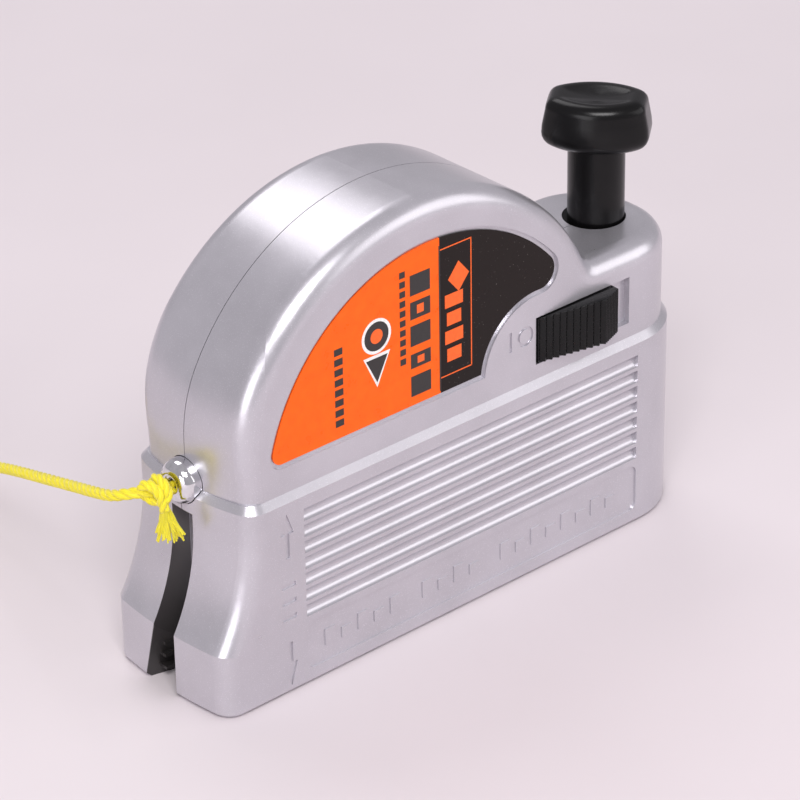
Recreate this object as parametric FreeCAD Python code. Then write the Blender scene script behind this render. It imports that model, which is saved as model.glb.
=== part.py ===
"""Magnetic plumb-line reel: a two-piece case on a magnetic base, a spring-rewound
spool of line that leaves through the nose, a sliding line lock and a push pin.

Millimetres.  +Z up, origin at the centre of the base's flat face.  The nose points
to -X, the push pin is at the +X end, and the label side with the lock faces -Y.
"""
import FreeCAD, Part
import math
import os

V = FreeCAD.Vector

# ---- overall sizes -------------------------------------------------------------
BODY_LENGTH = 118.6          # toe face to rear of the base
BODY_WIDTH = 32.0            # across the base
CENTRE_HEIGHT = 40.0         # base face to the ledge and the dome's centre
NOSE_RISE = 1.3              # the line leaves a little above the ledge
DOME_RADIUS = 45.6           # outside of the reel dome
FRONT_FLAT = 2.4             # how far the front face cuts into the dome's circle
TOE_REACH = 6.6              # toe face ahead of the upper front face
BOSS_HEIGHT = 58.8           # top of the push pin boss
UPPER_INSET = 1.2            # upper case inside the base, all round
WALL = 2.2
FLOOR = 3.0

# ---- case shape ----------------------------------------------------------------
FRONT_CORNER = 4.0           # plan radius at the nose
NOSE_BOW = 46.0              # plan radius of the front at the line
TOE_BOW = 90.0               # and at the toe
BOW_START = 46.0             # heights between which the bow fades out
BOW_END = 74.0
BOW_STEPS = 8
BOW_SKIM = 0.05              # the bowed front just inside the side view's outline
BOW_SIDE_GAP = 0.01          # its sides just outside the case's
PARTING = 0.16               # groove where the halves meet
PARTING_DEPTH = 0.3
FLARE = 3.6                  # how far the slot opens on the back half at its foot
SLOT_RIB = 0.6
SLOT_RIB_PITCH = 2.6
REAR_CORNER = 15.0           # plan radius at the rear
TOP_EDGE = 4.0               # rounding along the dome and boss
NOSE_BLEND = 27.0            # front face into dome
VALLEY_RADIUS = 2.0          # dome into boss
TOE_CREASE_Z = 13.0
TOE_SWEEP_TOP = 33.0         # where the concave front turns upright
BASE_EDGE = 1.0
LEDGE_DROP = 0.8             # base's full width ends this far below the line
LEDGE_RISE = 0.5             # and the upper case starts this far above it
LAP = 0.6
SLOT_WIDTH = 5.6             # line slot down the toe
SLOT_DEPTH = 14.0            # from the toe face to the web, at its foot
SLOT_UPPER_DEPTH = 9.2       # and above the toe
SLOT_WEB = 2.0
SLOT_TOP_GAP = 4.4           # top of the slot below the ledge

# ---- line and nose -------------------------------------------------------------
LINE_DIAMETER = 1.2
CORD_DIAMETER = 2.2          # doubled and twisted outside the nose
FERRULE_RADIUS = 4.2
FERRULE_REACH = 3.4          # ferrule's face ahead of the upper front face
FERRULE_DEPTH = 4.6          # behind it
FERRULE_FLANGE = 0.9
FLANGE_THICK = 1.2
FERRULE_GAP = 0.12
FERRULE_BORE = 0.9
GUIDE_RADIUS = 3.0
GUIDE_LENGTH = 5.0
LINE_CLEARANCE = 0.1
KNOT_RADIUS = 2.5
KNOT_RISE = -0.2             # the knot hangs a little below the hole's middle
KNOT_GAP = 0.1               # round the free line where it leaves the knot
TAIL_LENGTH = 7.0

# ---- spool and rewind spring -----------------------------------------------------
AXLE_RADIUS = 2.0
AXLE_CLEARANCE = 0.05
HUB_RADIUS = 7.5
WOUND_RADIUS = 13.0
WINDING_WIDTH = 7.0
BRAKE_RADIUS = 24.0
BRAKE_WIDTH = 3.0
CUP_RADIUS = 21.5
CUP_WALL = 1.5
CUP_FLOOR = 1.5
SPRING_WIDTH = 4.2
SPRING_STRIP = 0.35
SPRING_TURNS = 7
SPRING_GAP = 0.3
ARBOR_RADIUS = 4.5
COVER_THICK = 0.8
COVER_BORE = 7.0
POST_RADIUS = 4.5
SIDE_PLAY = 0.4

# ---- line lock -----------------------------------------------------------------
LOCK_TRAVEL = 4.0
WINDOW_HEIGHT = 9.6
WINDOW_START = 27.0          # dome centre to the window's near end
WINDOW_BOTTOM = 3.5          # line height to the window's lower edge
WINDOW_DEPTH = 1.2
SLIDER_LENGTH = 19.3
SLIDER_GAP = 0.3
SLIDER_NEAR_RISE = 0.4
RIB_COUNT = 11               # across the long slope of the slider
RIB_DEPTH = 0.35
FINE_RIB_COUNT = 7           # across its short slope
FINE_RIB_DEPTH = 0.2
SLIDER_PEAK = 14.2           # near end to the crest
CREST_RISE = 3.5
TAIL_RISE = 1.6
NECK_START = 3.5
NECK_LENGTH = 8.0
NECK_HEIGHT = 4.0
SLIDE_CLEARANCE = 0.15
CARRIER_THICK = 1.6
SHOE_GAP = 0.1
SHOE_THICK = 1.6
SHOE_HEIGHT = 7.0
ARM_REACH = 4.2
LEAF_THICK = 0.4
LEAF_WIDTH = 2.0

# ---- push pin ------------------------------------------------------------------
PIN_INSET = 12.2             # rear of the base to the pin's axis
PIN_TRAVEL = 14.6
STEM_RADIUS = 5.4
STEM_CLEARANCE = 0.06
HOLE_GAP = 0.9               # sleeve bore outside the stem
BOSS_GAP = 0.65              # boss hole outside the stem
BOSS_SHIFT = 0.5             # and its centre ahead of the stem's
SLEEVE_WALL = 1.4
SLEEVE_FOOT = 8.0
SLEEVE_FLOOR = 2.0
SLEEVE_TOP_DROP = 3.0        # below the boss top
STEM_FOOT_Z = 36.0
STOP_THICK = 2.0
BUSH_TOP_DROP = 5.0
HEAD_CLEARANCE = 0.4
HEAD_WIDTH = 20.2            # across the flats
HEAD_DEPTH = 16.2
HEAD_THICK = 9.8
HEAD_ARC = 14.0
HEAD_TURN = -51.0            # degrees, as it stands
HEAD_EDGE = 2.2
DISH_RADIUS = 24.0
DISH_DEPTH = 0.9
NEEDLE_RADIUS = 1.0
NEEDLE_TIP_Z = 1.5
NEEDLE_POINT = 3.5
NEEDLE_BED = 9.0
NEEDLE_CLEARANCE = 0.08
BUSH_RADIUS = 3.0
COIL_WIRE = 0.9
COIL_TURNS = 7
COIL_GAP = 0.35

# ---- magnets -------------------------------------------------------------------
MAGNET_LENGTH = 20.0
MAGNET_WIDTH = 10.0
MAGNET_HEIGHT = 5.0
POLE_THICK = 1.6
POLE_HEIGHT = 7.0
KEEPER_THICK = 1.5
FRONT_MAGNET_SHIFT = -17.5   # from the dome centre
REAR_MAGNET_SHIFT = 21.5

# ---- label, grip grooves and marks ----------------------------------------------
LABEL_RADIUS = 38.6
LABEL_SHIFT = (2.0, -1.4)    # label circle's centre from the dome's
LABEL_FOOT = 6.3             # line height to the label's straight edge
LABEL_NOTCH = 14.0
NOTCH_CENTRE = (27.5, 4.5)
LABEL_LOBE = 3.4
LABEL_CORNER = 2.0
LABEL_THICK = 0.3
RECESS_DEPTH = 0.6
RECESS_MARGIN = 0.8
FLUTE_COUNT = 7
FLUTE_PITCH = 3.28
FLUTE_WIDTH = 2.5
FLUTE_DEPTH = 0.8
FLUTE_START = 30.0           # grooves' front ends ahead of the dome's centre
FLUTE_END = 52.3             # and their rear ends behind it
FLUTE_TOP = 4.6              # line height to the first groove's middle
PANEL_TOP = 13.0
PANEL_BOTTOM = 3.4
PANEL_DEPTH = 0.35
PANEL_CORNER = 1.5
DASH_GROUPS = (5, 4, 8)      # plain raised blocks along the panel
DASH_PITCH = 3.9
DASH_LENGTH = 2.3
DASH_HEIGHTS = (3.4, 2.2)
DASH_START = 4.2
MARK_X = -43.4               # arrows' centre line
MARK_DEPTH = 0.3
MARK_SHAFT = 0.9
MARK_HEAD = 3.0              # across the arrow heads
MARK_BARS = (22.6, 19.3, 16.0)
MARK_BAR_LENGTH = 3.2
SYMBOL_X = 12.4              # lock symbol's centre
SYMBOL_HALF = 2.0

# ---- screws --------------------------------------------------------------------
SCREW_RADIUS = 1.3
SCREW_HEAD = 2.6
SCREW_HEAD_HEIGHT = 1.8
SCREW_SINK = 2.4
SCREW_GRIP = 9.0
SCREW_CROSS = 0.35           # half width of the cross recess
SCREW_CROSS_REACH = 1.6
POST_WALL = 1.6
UPPER_SCREW_REACH = 0.61     # of the dome's radius, along and up
REAR_SCREW = (0.65, 0.56)
LOW_REAR_SCREW = 0.76
NOSE_SCREW_DROP = 14.0
CARRIER_SCREW_RADIUS = 0.8

# ---- free line and bob -----------------------------------------------------------
BOB_RADIUS = 7.0
BOB_BODY = 26.0
BOB_POINT = 16.0
BOB_NECK = 3.4
CAP_RADIUS = 4.6
CAP_LENGTH = 7.0

# ---- derived places ---------------------------------------------------------------
TOE_X = -BODY_LENGTH / 2
REAR_X = BODY_LENGTH / 2
HALF = BODY_WIDTH / 2
UPPER_HALF = HALF - UPPER_INSET
FRONT_X = TOE_X + TOE_REACH
DOME_X = FRONT_X + DOME_RADIUS - FRONT_FLAT
INNER = UPPER_HALF - WALL
FRONT_MAGNET_X = DOME_X + FRONT_MAGNET_SHIFT
REAR_MAGNET_X = DOME_X + REAR_MAGNET_SHIFT
LINE_Z = CENTRE_HEIGHT + NOSE_RISE
SPOOL_Z = LINE_Z + WOUND_RADIUS + LINE_DIAMETER / 2 + LINE_CLEARANCE
PIN_X = REAR_X - PIN_INSET
EXIT_X = FRONT_X - FERRULE_REACH
WINDING_FACE = WINDING_WIDTH / 2
BRAKE_FACE = -WINDING_FACE - BRAKE_WIDTH
CUP_BED = WINDING_FACE + CUP_FLOOR
CUP_RIM = CUP_BED + SPRING_WIDTH + 2 * SPRING_GAP
COVER_TOP = CUP_RIM + COVER_THICK
WINDOW_X = DOME_X + WINDOW_START
WINDOW_LENGTH = SLIDER_LENGTH + LOCK_TRAVEL + 2 * SLIDER_GAP
WINDOW_Z = CENTRE_HEIGHT + WINDOW_BOTTOM


# ---- helpers -----------------------------------------------------------------------
def box(x0, x1, y0, y1, z0, z1):
    return Part.makeBox(x1 - x0, y1 - y0, z1 - z0, V(x0, y0, z0))


def rod_y(x, z, radius, y0, y1):
    return Part.makeCylinder(radius, y1 - y0, V(x, y0, z), V(0, 1, 0))


def rod_x(x0, x1, radius, z):
    return Part.makeCylinder(radius, x1 - x0, V(x0, 0, z), V(1, 0, 0))


def rod_z(x, z0, z1, radius, y=0.0):
    return Part.makeCylinder(radius, z1 - z0, V(x, y, z0), V(0, 0, 1))


def tube_z(x, z0, z1, outer, inner):
    return rod_z(x, z0, z1, outer).cut(rod_z(x, z0, z1, inner))


def tube_y(x, z, outer, inner, y0, y1):
    return rod_y(x, z, outer, y0, y1).cut(rod_y(x, z, inner, y0, y1))


def arc(a, middle, b):
    return Part.Arc(a, middle, b).toShape()


def line(a, b):
    return Part.makeLine(a, b)


def corner_arc(cx, cy, radius, start, end, z):
    """Arc in plan about (cx, cy), from start to end degrees."""
    pts = []
    for angle in (start, (start + end) / 2, end):
        t = math.radians(angle)
        pts.append(V(cx + radius * math.cos(t), cy + radius * math.sin(t), z))
    return arc(*pts)


def plan_wire(front, rear, half, front_r, rear_r, z, bow=10 * BODY_LENGTH):
    """Outline seen from above: a bowed front with small corners, large corners behind."""
    centre = front + bow
    corner_y = half - front_r
    corner_x = centre - math.sqrt((bow - front_r) ** 2 - corner_y ** 2)
    reach = bow / (bow - front_r)
    end = (centre + (corner_x - centre) * reach, corner_y * reach)
    t = math.atan2(corner_y, centre - corner_x)
    turn = (math.pi - t + math.pi / 2) / 2
    mid = (corner_x + front_r * math.cos(turn), corner_y + front_r * math.sin(turn))
    edges = [
        arc(V(end[0], end[1], z), V(front, 0, z), V(end[0], -end[1], z)),
        arc(V(end[0], -end[1], z), V(mid[0], -mid[1], z), V(corner_x, -half, z)),
        line(V(corner_x, -half, z), V(rear - rear_r, -half, z)),
        corner_arc(rear - rear_r, -half + rear_r, rear_r, 270, 360, z),
        line(V(rear, -half + rear_r, z), V(rear, half - rear_r, z)),
        corner_arc(rear - rear_r, half - rear_r, rear_r, 0, 90, z),
        line(V(rear - rear_r, half, z), V(corner_x, half, z)),
        arc(V(corner_x, half, z), V(mid[0], mid[1], z), V(end[0], end[1], z)),
    ]
    return Part.Wire(edges)


def circle_meet(c1, r1, c2, r2, upper=True):
    """One crossing of two circles in the side view."""
    dx = c2[0] - c1[0]
    dz = c2[1] - c1[1]
    d = math.hypot(dx, dz)
    along = (r1 * r1 - r2 * r2 + d * d) / (2 * d)
    across = math.sqrt(max(r1 * r1 - along * along, 0.0))
    mx = c1[0] + along * dx / d
    mz = c1[1] + along * dz / d
    first = (mx - across * dz / d, mz + across * dx / d)
    second = (mx + across * dz / d, mz - across * dx / d)
    if upper:
        return max(first, second, key=lambda p: p[1])
    return min(first, second, key=lambda p: p[1])


def toward(centre, point, radius):
    """Point on a circle about centre, on the side of another point."""
    dx = point[0] - centre[0]
    dz = point[1] - centre[1]
    d = math.hypot(dx, dz)
    return (centre[0] + radius * dx / d, centre[1] + radius * dz / d)


def side_arc(centre, radius, a, b, y, bulge=1):
    """Arc in the side view from a to b; bulge -1 takes the far way round."""
    mx = (a[0] + b[0]) / 2 - centre[0]
    mz = (a[1] + b[1]) / 2 - centre[1]
    d = math.hypot(mx, mz)
    mid = (centre[0] + bulge * radius * mx / d, centre[1] + bulge * radius * mz / d)
    return arc(V(a[0], y, a[1]), V(mid[0], y, mid[1]), V(b[0], y, b[1]))


def side_line(a, b, y):
    return line(V(a[0], y, a[1]), V(b[0], y, b[1]))


def on_both_sides(shape):
    return shape.fuse(shape.mirror(V(0, 0, 0), V(0, 1, 0)))


# ---- case --------------------------------------------------------------------------
def toe_setback(z):
    """How far the front face lies behind the toe face at a height."""
    reach = TOE_REACH - UPPER_INSET
    rise = TOE_SWEEP_TOP - TOE_CREASE_Z
    radius = (rise * rise + reach * reach) / (2 * reach)
    if z <= TOE_CREASE_Z:
        return 0.0
    if z >= TOE_SWEEP_TOP:
        return reach
    drop = TOE_SWEEP_TOP - z
    return reach - (radius - math.sqrt(radius * radius - drop * drop))


def front_bow(z):
    """Plan radius of the front at a height."""
    along = (z - TOE_CREASE_Z) / (TOE_SWEEP_TOP - TOE_CREASE_Z)
    along = min(max(along, 0.0), 1.0)
    return 1.0 / ((1.0 - along) / TOE_BOW + along / NOSE_BOW)


def base_section(z, inset=0.0):
    front = TOE_X + toe_setback(z) + inset
    return plan_wire(front, REAR_X - inset, HALF - inset,
                     FRONT_CORNER - min(inset, 1.0), REAR_CORNER - min(inset, 1.0), z,
                     front_bow(z))


def base_solid(skin=0.0):
    ledge = CENTRE_HEIGHT - LEDGE_DROP
    steps = 5
    sweep = []
    for i in range(steps):
        sweep.append(TOE_CREASE_Z + (TOE_SWEEP_TOP - TOE_CREASE_Z) * i / (steps - 1))
    foot = Part.makeLoft([base_section(0, BASE_EDGE + skin), base_section(BASE_EDGE, skin)],
                         True, True)
    toe = Part.makeLoft([base_section(BASE_EDGE, skin), base_section(TOE_CREASE_Z, skin)],
                        True, True)
    throat = Part.makeLoft([base_section(z, skin) for z in sweep], True, False)
    band = Part.makeLoft([base_section(TOE_SWEEP_TOP, skin), base_section(ledge, skin)],
                         True, True)
    top = base_section(CENTRE_HEIGHT + LEDGE_RISE, UPPER_INSET + skin)
    shelf = Part.makeLoft([base_section(ledge, skin), top], True, True)
    return foot.fuse([toe, throat, band, shelf])


def upper_outline(inset, y):
    """Side view of the upper case: front face, dome, valley, boss, rear wall."""
    c = (DOME_X, CENTRE_HEIGHT)
    front = FRONT_X + inset
    rear = REAR_X - UPPER_INSET - inset
    radius = DOME_RADIUS - inset
    boss = BOSS_HEIGHT - inset
    foot = CENTRE_HEIGHT + LEDGE_RISE - LAP
    blend = NOSE_BLEND - inset
    blend_x = front + blend
    reach = radius - blend
    blend_c = (blend_x, c[1] + math.sqrt(reach * reach - (blend_x - c[0]) ** 2))
    valley = VALLEY_RADIUS + inset
    valley_z = boss + valley
    reach = radius + valley
    valley_c = (c[0] + math.sqrt(reach * reach - (valley_z - c[1]) ** 2), valley_z)
    on_face = (front, blend_c[1])
    on_dome = toward(c, blend_c, radius)
    crest = (c[0], c[1] + radius)
    off_dome = toward(c, valley_c, radius)
    on_boss = (valley_c[0], boss)
    edges = [
        side_line((front, foot), on_face, y),
        side_arc(blend_c, blend, on_face, on_dome, y),
        side_arc(c, radius, on_dome, crest, y),
        side_arc(c, radius, crest, off_dome, y),
        side_arc(valley_c, valley, off_dome, on_boss, y),
        side_line(on_boss, (rear, boss), y),
        side_line((rear, boss), (rear, foot), y),
        side_line((rear, foot), (front, foot), y),
    ]
    return Part.Wire(edges)


def upper_block(inset, half, rear_r):
    rear = REAR_X - UPPER_INSET - inset
    slab = Part.Face(upper_outline(inset, -half)).extrude(V(0, 2 * half, 0))
    plan = Part.Face(plan_wire(TOE_X, rear, half, 0.5, rear_r, 0.0))
    return slab.common(plan.extrude(V(0, 0, CENTRE_HEIGHT + 2 * DOME_RADIUS)))


def front_at(z, inset):
    """Where the upper case's front stands at a height: upright, then blend, then dome."""
    front = FRONT_X + inset
    radius = DOME_RADIUS - inset
    blend = NOSE_BLEND - inset
    centre_x = front + blend
    rise = math.sqrt((radius - blend) ** 2 - (centre_x - DOME_X) ** 2)
    up = z - CENTRE_HEIGHT
    if up <= rise:
        return front
    if up <= rise * radius / (radius - blend):
        return centre_x - math.sqrt(blend ** 2 - (up - rise) ** 2)
    return DOME_X - math.sqrt(radius ** 2 - up ** 2)


def bowed(shape, inset, half):
    """Rounds the upper case's front in plan; the bow fades out up the dome."""
    foot = CENTRE_HEIGHT - LEDGE_DROP - 2 * LAP
    sections = []
    for k in range(BOW_STEPS + 1):
        fade = max(0.0, (k - 1) / (BOW_STEPS - 1))
        z = foot if k == 0 else BOW_START + (BOW_END - BOW_START) * fade
        bow = (NOSE_BOW - inset) / max(1.0 - fade, 0.06)
        skim = BOW_SKIM * (1.0 - 4.0 * fade ** 2)
        sections.append(plan_wire(front_at(z, inset) + skim, REAR_X, half + BOW_SIDE_GAP,
                                  FRONT_CORNER + BOW_SIDE_GAP, 1.0, z, bow))
    nose = Part.makeLoft(sections, True, False)
    top = CENTRE_HEIGHT + 2 * DOME_RADIUS
    above = box(TOE_X, REAR_X, -half, half, BOW_END, top)
    return shape.common(nose.fuse(above))


def upper_solid():
    solid = upper_block(0.0, UPPER_HALF, REAR_CORNER - UPPER_INSET)
    foot = CENTRE_HEIGHT + LEDGE_RISE - LAP
    rim = []
    tangent_x = REAR_X - REAR_CORNER
    for edge in solid.Edges:
        middle = edge.valueAt((edge.FirstParameter + edge.LastParameter) / 2)
        if middle.z < foot + 0.1:
            continue
        on_side = abs(abs(middle.y) - UPPER_HALF) < 0.01
        on_rear = abs(middle.z - BOSS_HEIGHT) < 0.01 and middle.x > tangent_x
        if (on_side and middle.x < tangent_x - 0.01) or on_rear:
            rim.append(edge)
    return bowed(solid.makeFillet(TOP_EDGE, rim), 0.0, UPPER_HALF)


def cavity_solid():
    """The hollow inside both halves, down to the floor."""
    ledge = CENTRE_HEIGHT - LEDGE_DROP
    inner_half = HALF - WALL
    start = TOE_X + SLOT_DEPTH + SLOT_WEB
    plan = plan_wire(start, REAR_X - WALL, inner_half, 1.0, REAR_CORNER - WALL, FLOOR)
    low = Part.Face(plan).extrude(V(0, 0, ledge - FLOOR))
    upper = bowed(upper_block(WALL, INNER, REAR_CORNER - UPPER_INSET - WALL), WALL, INNER)
    neck_plan = plan_wire(FRONT_X + WALL, REAR_X - UPPER_INSET - WALL, INNER, FRONT_CORNER,
                          REAR_CORNER - UPPER_INSET - WALL, ledge - LAP, NOSE_BOW - WALL)
    neck = Part.Face(neck_plan).extrude(V(0, 0, CENTRE_HEIGHT + LEDGE_RISE - ledge + 2 * LAP))
    cheek = box(TOE_X + TOE_REACH + 2 * WALL, start + LAP, SLOT_WIDTH / 2 + WALL, inner_half - LAP,
                FLOOR, CENTRE_HEIGHT - LEDGE_DROP - WALL)
    return low.fuse([neck, upper, on_both_sides(cheek)])


def label_wire(offset, y):
    """Label outline: a large arc on top, a small lobe, a notch round the lock, a flat foot."""
    c = (DOME_X + LABEL_SHIFT[0], CENTRE_HEIGHT + LABEL_SHIFT[1])
    n = (DOME_X + NOTCH_CENTRE[0], CENTRE_HEIGHT + NOTCH_CENTRE[1])
    top_r = LABEL_RADIUS + offset
    lobe_r = LABEL_LOBE + offset
    notch_r = LABEL_NOTCH - offset
    corner_r = LABEL_CORNER + offset
    foot = CENTRE_HEIGHT + LABEL_FOOT - offset
    lobe_c = circle_meet(c, top_r - lobe_r, n, notch_r + lobe_r)
    corner_z = foot + corner_r
    reach = top_r - corner_r
    corner_c = (c[0] - math.sqrt(reach * reach - (corner_z - c[1]) ** 2), corner_z)
    low_corner = toward(c, corner_c, top_r)
    top = (c[0], c[1] + top_r)
    on_lobe = toward(c, lobe_c, top_r)
    on_notch = toward(lobe_c, n, lobe_r)
    notch_foot = (n[0] - math.sqrt(notch_r * notch_r - (foot - n[1]) ** 2), foot)
    t = math.radians(-25)
    nose = (lobe_c[0] + lobe_r * math.cos(t), lobe_c[1] + lobe_r * math.sin(t))
    edges = [
        side_arc(c, top_r, low_corner, top, y),
        side_arc(c, top_r, top, on_lobe, y),
        arc(V(on_lobe[0], y, on_lobe[1]), V(nose[0], y, nose[1]), V(on_notch[0], y, on_notch[1])),
        side_arc(n, notch_r, on_notch, notch_foot, y),
        side_line(notch_foot, (corner_c[0], foot), y),
        side_arc(corner_c, corner_r, (corner_c[0], foot), low_corner, y),
    ]
    return Part.Wire(edges)


def label_recess():
    face = Part.Face(label_wire(RECESS_MARGIN, -UPPER_HALF - LAP))
    return face.extrude(V(0, RECESS_DEPTH + LAP, 0))


def label_plate():
    bed = -UPPER_HALF + RECESS_DEPTH
    return Part.Face(label_wire(0.0, bed - LABEL_THICK)).extrude(V(0, LABEL_THICK, 0))


def flute(z):
    """One shallow round-bottomed grip groove along the base."""
    radius = (FLUTE_WIDTH ** 2 / 4 + FLUTE_DEPTH ** 2) / (2 * FLUTE_DEPTH)
    start = DOME_X - FLUTE_START
    end = DOME_X + FLUTE_END
    centre_y = -HALF - radius + FLUTE_DEPTH
    return Part.makeCylinder(radius, end - start, V(start, centre_y, z), V(1, 0, 0))


def grip_cuts():
    start = DOME_X - FLUTE_START
    end = DOME_X + FLUTE_END
    cuts = []
    for i in range(FLUTE_COUNT):
        cuts.append(flute(CENTRE_HEIGHT - FLUTE_TOP - i * FLUTE_PITCH))
    panel = box(start, end, -HALF - LAP, -HALF + PANEL_DEPTH, PANEL_BOTTOM, PANEL_TOP)
    upright = [e for e in panel.Edges
               if abs(e.valueAt(e.FirstParameter).y - e.valueAt(e.LastParameter).y) > LAP]
    cuts.append(panel.makeFillet(PANEL_CORNER, upright))
    return cuts


def panel_dashes():
    """Plain raised blocks along the sunk panel."""
    x = DOME_X - FLUTE_START + DASH_START
    foot = (PANEL_TOP + PANEL_BOTTOM - DASH_HEIGHTS[0]) / 2
    dashes = []
    for group in DASH_GROUPS:
        for i in range(group):
            height = DASH_HEIGHTS[i % 2]
            dashes.append(box(x, x + DASH_LENGTH, -HALF + PANEL_DEPTH / 3,
                              -HALF + 2 * PANEL_DEPTH, foot, foot + height))
            x += DASH_PITCH
        x += DASH_PITCH
    return dashes


def arrow_cut(tip_z, head_z, foot_z):
    """An arrow sunk into the side of the base."""
    half = MARK_SHAFT / 2
    wing = MARK_HEAD / 2
    y = -HALF - LAP
    outline = [V(MARK_X, y, tip_z), V(MARK_X + wing, y, head_z), V(MARK_X + half, y, head_z),
               V(MARK_X + half, y, foot_z), V(MARK_X - half, y, foot_z),
               V(MARK_X - half, y, head_z), V(MARK_X - wing, y, head_z), V(MARK_X, y, tip_z)]
    return Part.Face(Part.makePolygon(outline)).extrude(V(0, LAP + MARK_DEPTH, 0))


def mark_cuts():
    """Two arrows and three bars that show the offset, and an open and shut sign."""
    cuts = [arrow_cut(CENTRE_HEIGHT - 2.9, CENTRE_HEIGHT - 7.0, CENTRE_HEIGHT - 11.9),
            arrow_cut(1.8, 6.6, 10.9)]
    half = MARK_BAR_LENGTH / 2
    for z in MARK_BARS:
        cuts.append(box(MARK_X - half, MARK_X + half, -HALF - LAP, -HALF + MARK_DEPTH,
                        z - MARK_SHAFT / 2, z + MARK_SHAFT / 2))
    z = WINDOW_Z + WINDOW_HEIGHT / 2 + SYMBOL_HALF
    y = -UPPER_HALF
    ring = tube_y(SYMBOL_X + SYMBOL_HALF + 0.4, z, SYMBOL_HALF, SYMBOL_HALF - 0.6,
                  y - LAP, y + MARK_DEPTH)
    bar = box(SYMBOL_X - 1.6, SYMBOL_X - 0.9, y - LAP, y + MARK_DEPTH,
              z - SYMBOL_HALF, z + SYMBOL_HALF)
    return cuts + [ring, bar]


def screw_places():
    low = FLOOR + POST_WALL + SCREW_RADIUS + 1.0
    return [
        (TOE_X + SLOT_DEPTH + SLOT_WEB + 5.0, CENTRE_HEIGHT - NOSE_SCREW_DROP),
        (DOME_X - UPPER_SCREW_REACH * DOME_RADIUS,
         CENTRE_HEIGHT + UPPER_SCREW_REACH * DOME_RADIUS),
        (DOME_X + REAR_SCREW[0] * DOME_RADIUS, CENTRE_HEIGHT + REAR_SCREW[1] * DOME_RADIUS),
        (DOME_X + LOW_REAR_SCREW * DOME_RADIUS, low + 6.0),
        (DOME_X, low),
    ]


def magnet_pockets():
    cuts = []
    for x in (FRONT_MAGNET_X, REAR_MAGNET_X):
        half_l = MAGNET_LENGTH / 2
        half_w = MAGNET_WIDTH / 2 + POLE_THICK
        cuts.append(box(x - half_l, x + half_l, -half_w, half_w, -LAP, POLE_HEIGHT + KEEPER_THICK))
    return cuts


def magnet_boxes():
    """Closed housings moulded round the magnets."""
    walls = []
    for x in (FRONT_MAGNET_X, REAR_MAGNET_X):
        half_l = MAGNET_LENGTH / 2 + POST_WALL
        half_w = MAGNET_WIDTH / 2 + POLE_THICK + POST_WALL
        top = POLE_HEIGHT + KEEPER_THICK + POST_WALL
        walls.append(box(x - half_l, x + half_l, -half_w, half_w, FLOOR - LAP, top))
    return walls


def sleeve_radius():
    return STEM_RADIUS + HOLE_GAP + SLEEVE_WALL


def case_inside():
    """Posts, ribs and housings moulded inside the halves."""
    adds = []
    for x, z in screw_places():
        adds.append(rod_y(x, z, SCREW_RADIUS + POST_WALL + 0.3, -HALF + WALL / 2, HALF - WALL / 2))
    adds.append(rod_y(DOME_X, SPOOL_Z, POST_RADIUS, -INNER - LAP, BRAKE_FACE - SIDE_PLAY))
    adds.append(rod_y(DOME_X, SPOOL_Z, POST_RADIUS, COVER_TOP + SIDE_PLAY, INNER + LAP))
    adds += magnet_boxes()
    r = sleeve_radius()
    for z in (SLEEVE_FOOT + 4.0, CENTRE_HEIGHT - 6.0):
        adds.append(box(PIN_X - r - 3.0, REAR_X - WALL - LAP, -HALF + WALL / 2, HALF - WALL / 2,
                        z, z + WALL))
    guide_end = FRONT_X + FERRULE_DEPTH + GUIDE_LENGTH
    adds.append(box(FRONT_X + LAP, guide_end, -GUIDE_RADIUS - POST_WALL, GUIDE_RADIUS + POST_WALL,
                    LINE_Z - GUIDE_RADIUS - POST_WALL, LINE_Z + GUIDE_RADIUS + POST_WALL))
    collar = FERRULE_RADIUS + FERRULE_FLANGE + FERRULE_GAP + POST_WALL
    adds.append(rod_x(FRONT_X + LAP, FRONT_X + FERRULE_DEPTH, collar, LINE_Z))
    return adds


def slot_flare():
    """The slot opens sideways into the back half towards its foot."""
    half = SLOT_WIDTH / 2
    wires = []
    for x, open_y, top in ((TOE_X - LAP, FLARE, TOE_CREASE_Z), (TOE_X + SLOT_DEPTH, 0.1, 1.0)):
        wires.append(Part.makePolygon([V(x, half - LAP, -LAP), V(x, half + open_y, -LAP),
                                       V(x, half, top), V(x, half - LAP, top),
                                       V(x, half - LAP, -LAP)]))
    return Part.makeLoft(wires, True, True)


def slot_ribs():
    """Small moulded ribs on the flared side of the slot."""
    half = SLOT_WIDTH / 2
    ribs = []
    for k in range(3):
        z = 2.0 + SLOT_RIB_PITCH * k
        ribs.append(box(TOE_X + 2.5, TOE_X + SLOT_DEPTH - 2.0, half + 0.2, half + FLARE + 1.0,
                        z, z + SLOT_RIB))
    return ribs


def parting_groove(outer):
    """Fine groove round the outside where the two halves meet."""
    inner = base_solid(PARTING_DEPTH).fuse(upper_block(PARTING_DEPTH, UPPER_HALF, REAR_CORNER))
    slab = box(TOE_X - LAP, REAR_X + LAP, -PARTING / 2, PARTING / 2, -LAP,
               CENTRE_HEIGHT + DOME_RADIUS + LAP)
    return outer.common(slab).cut(inner)


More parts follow.
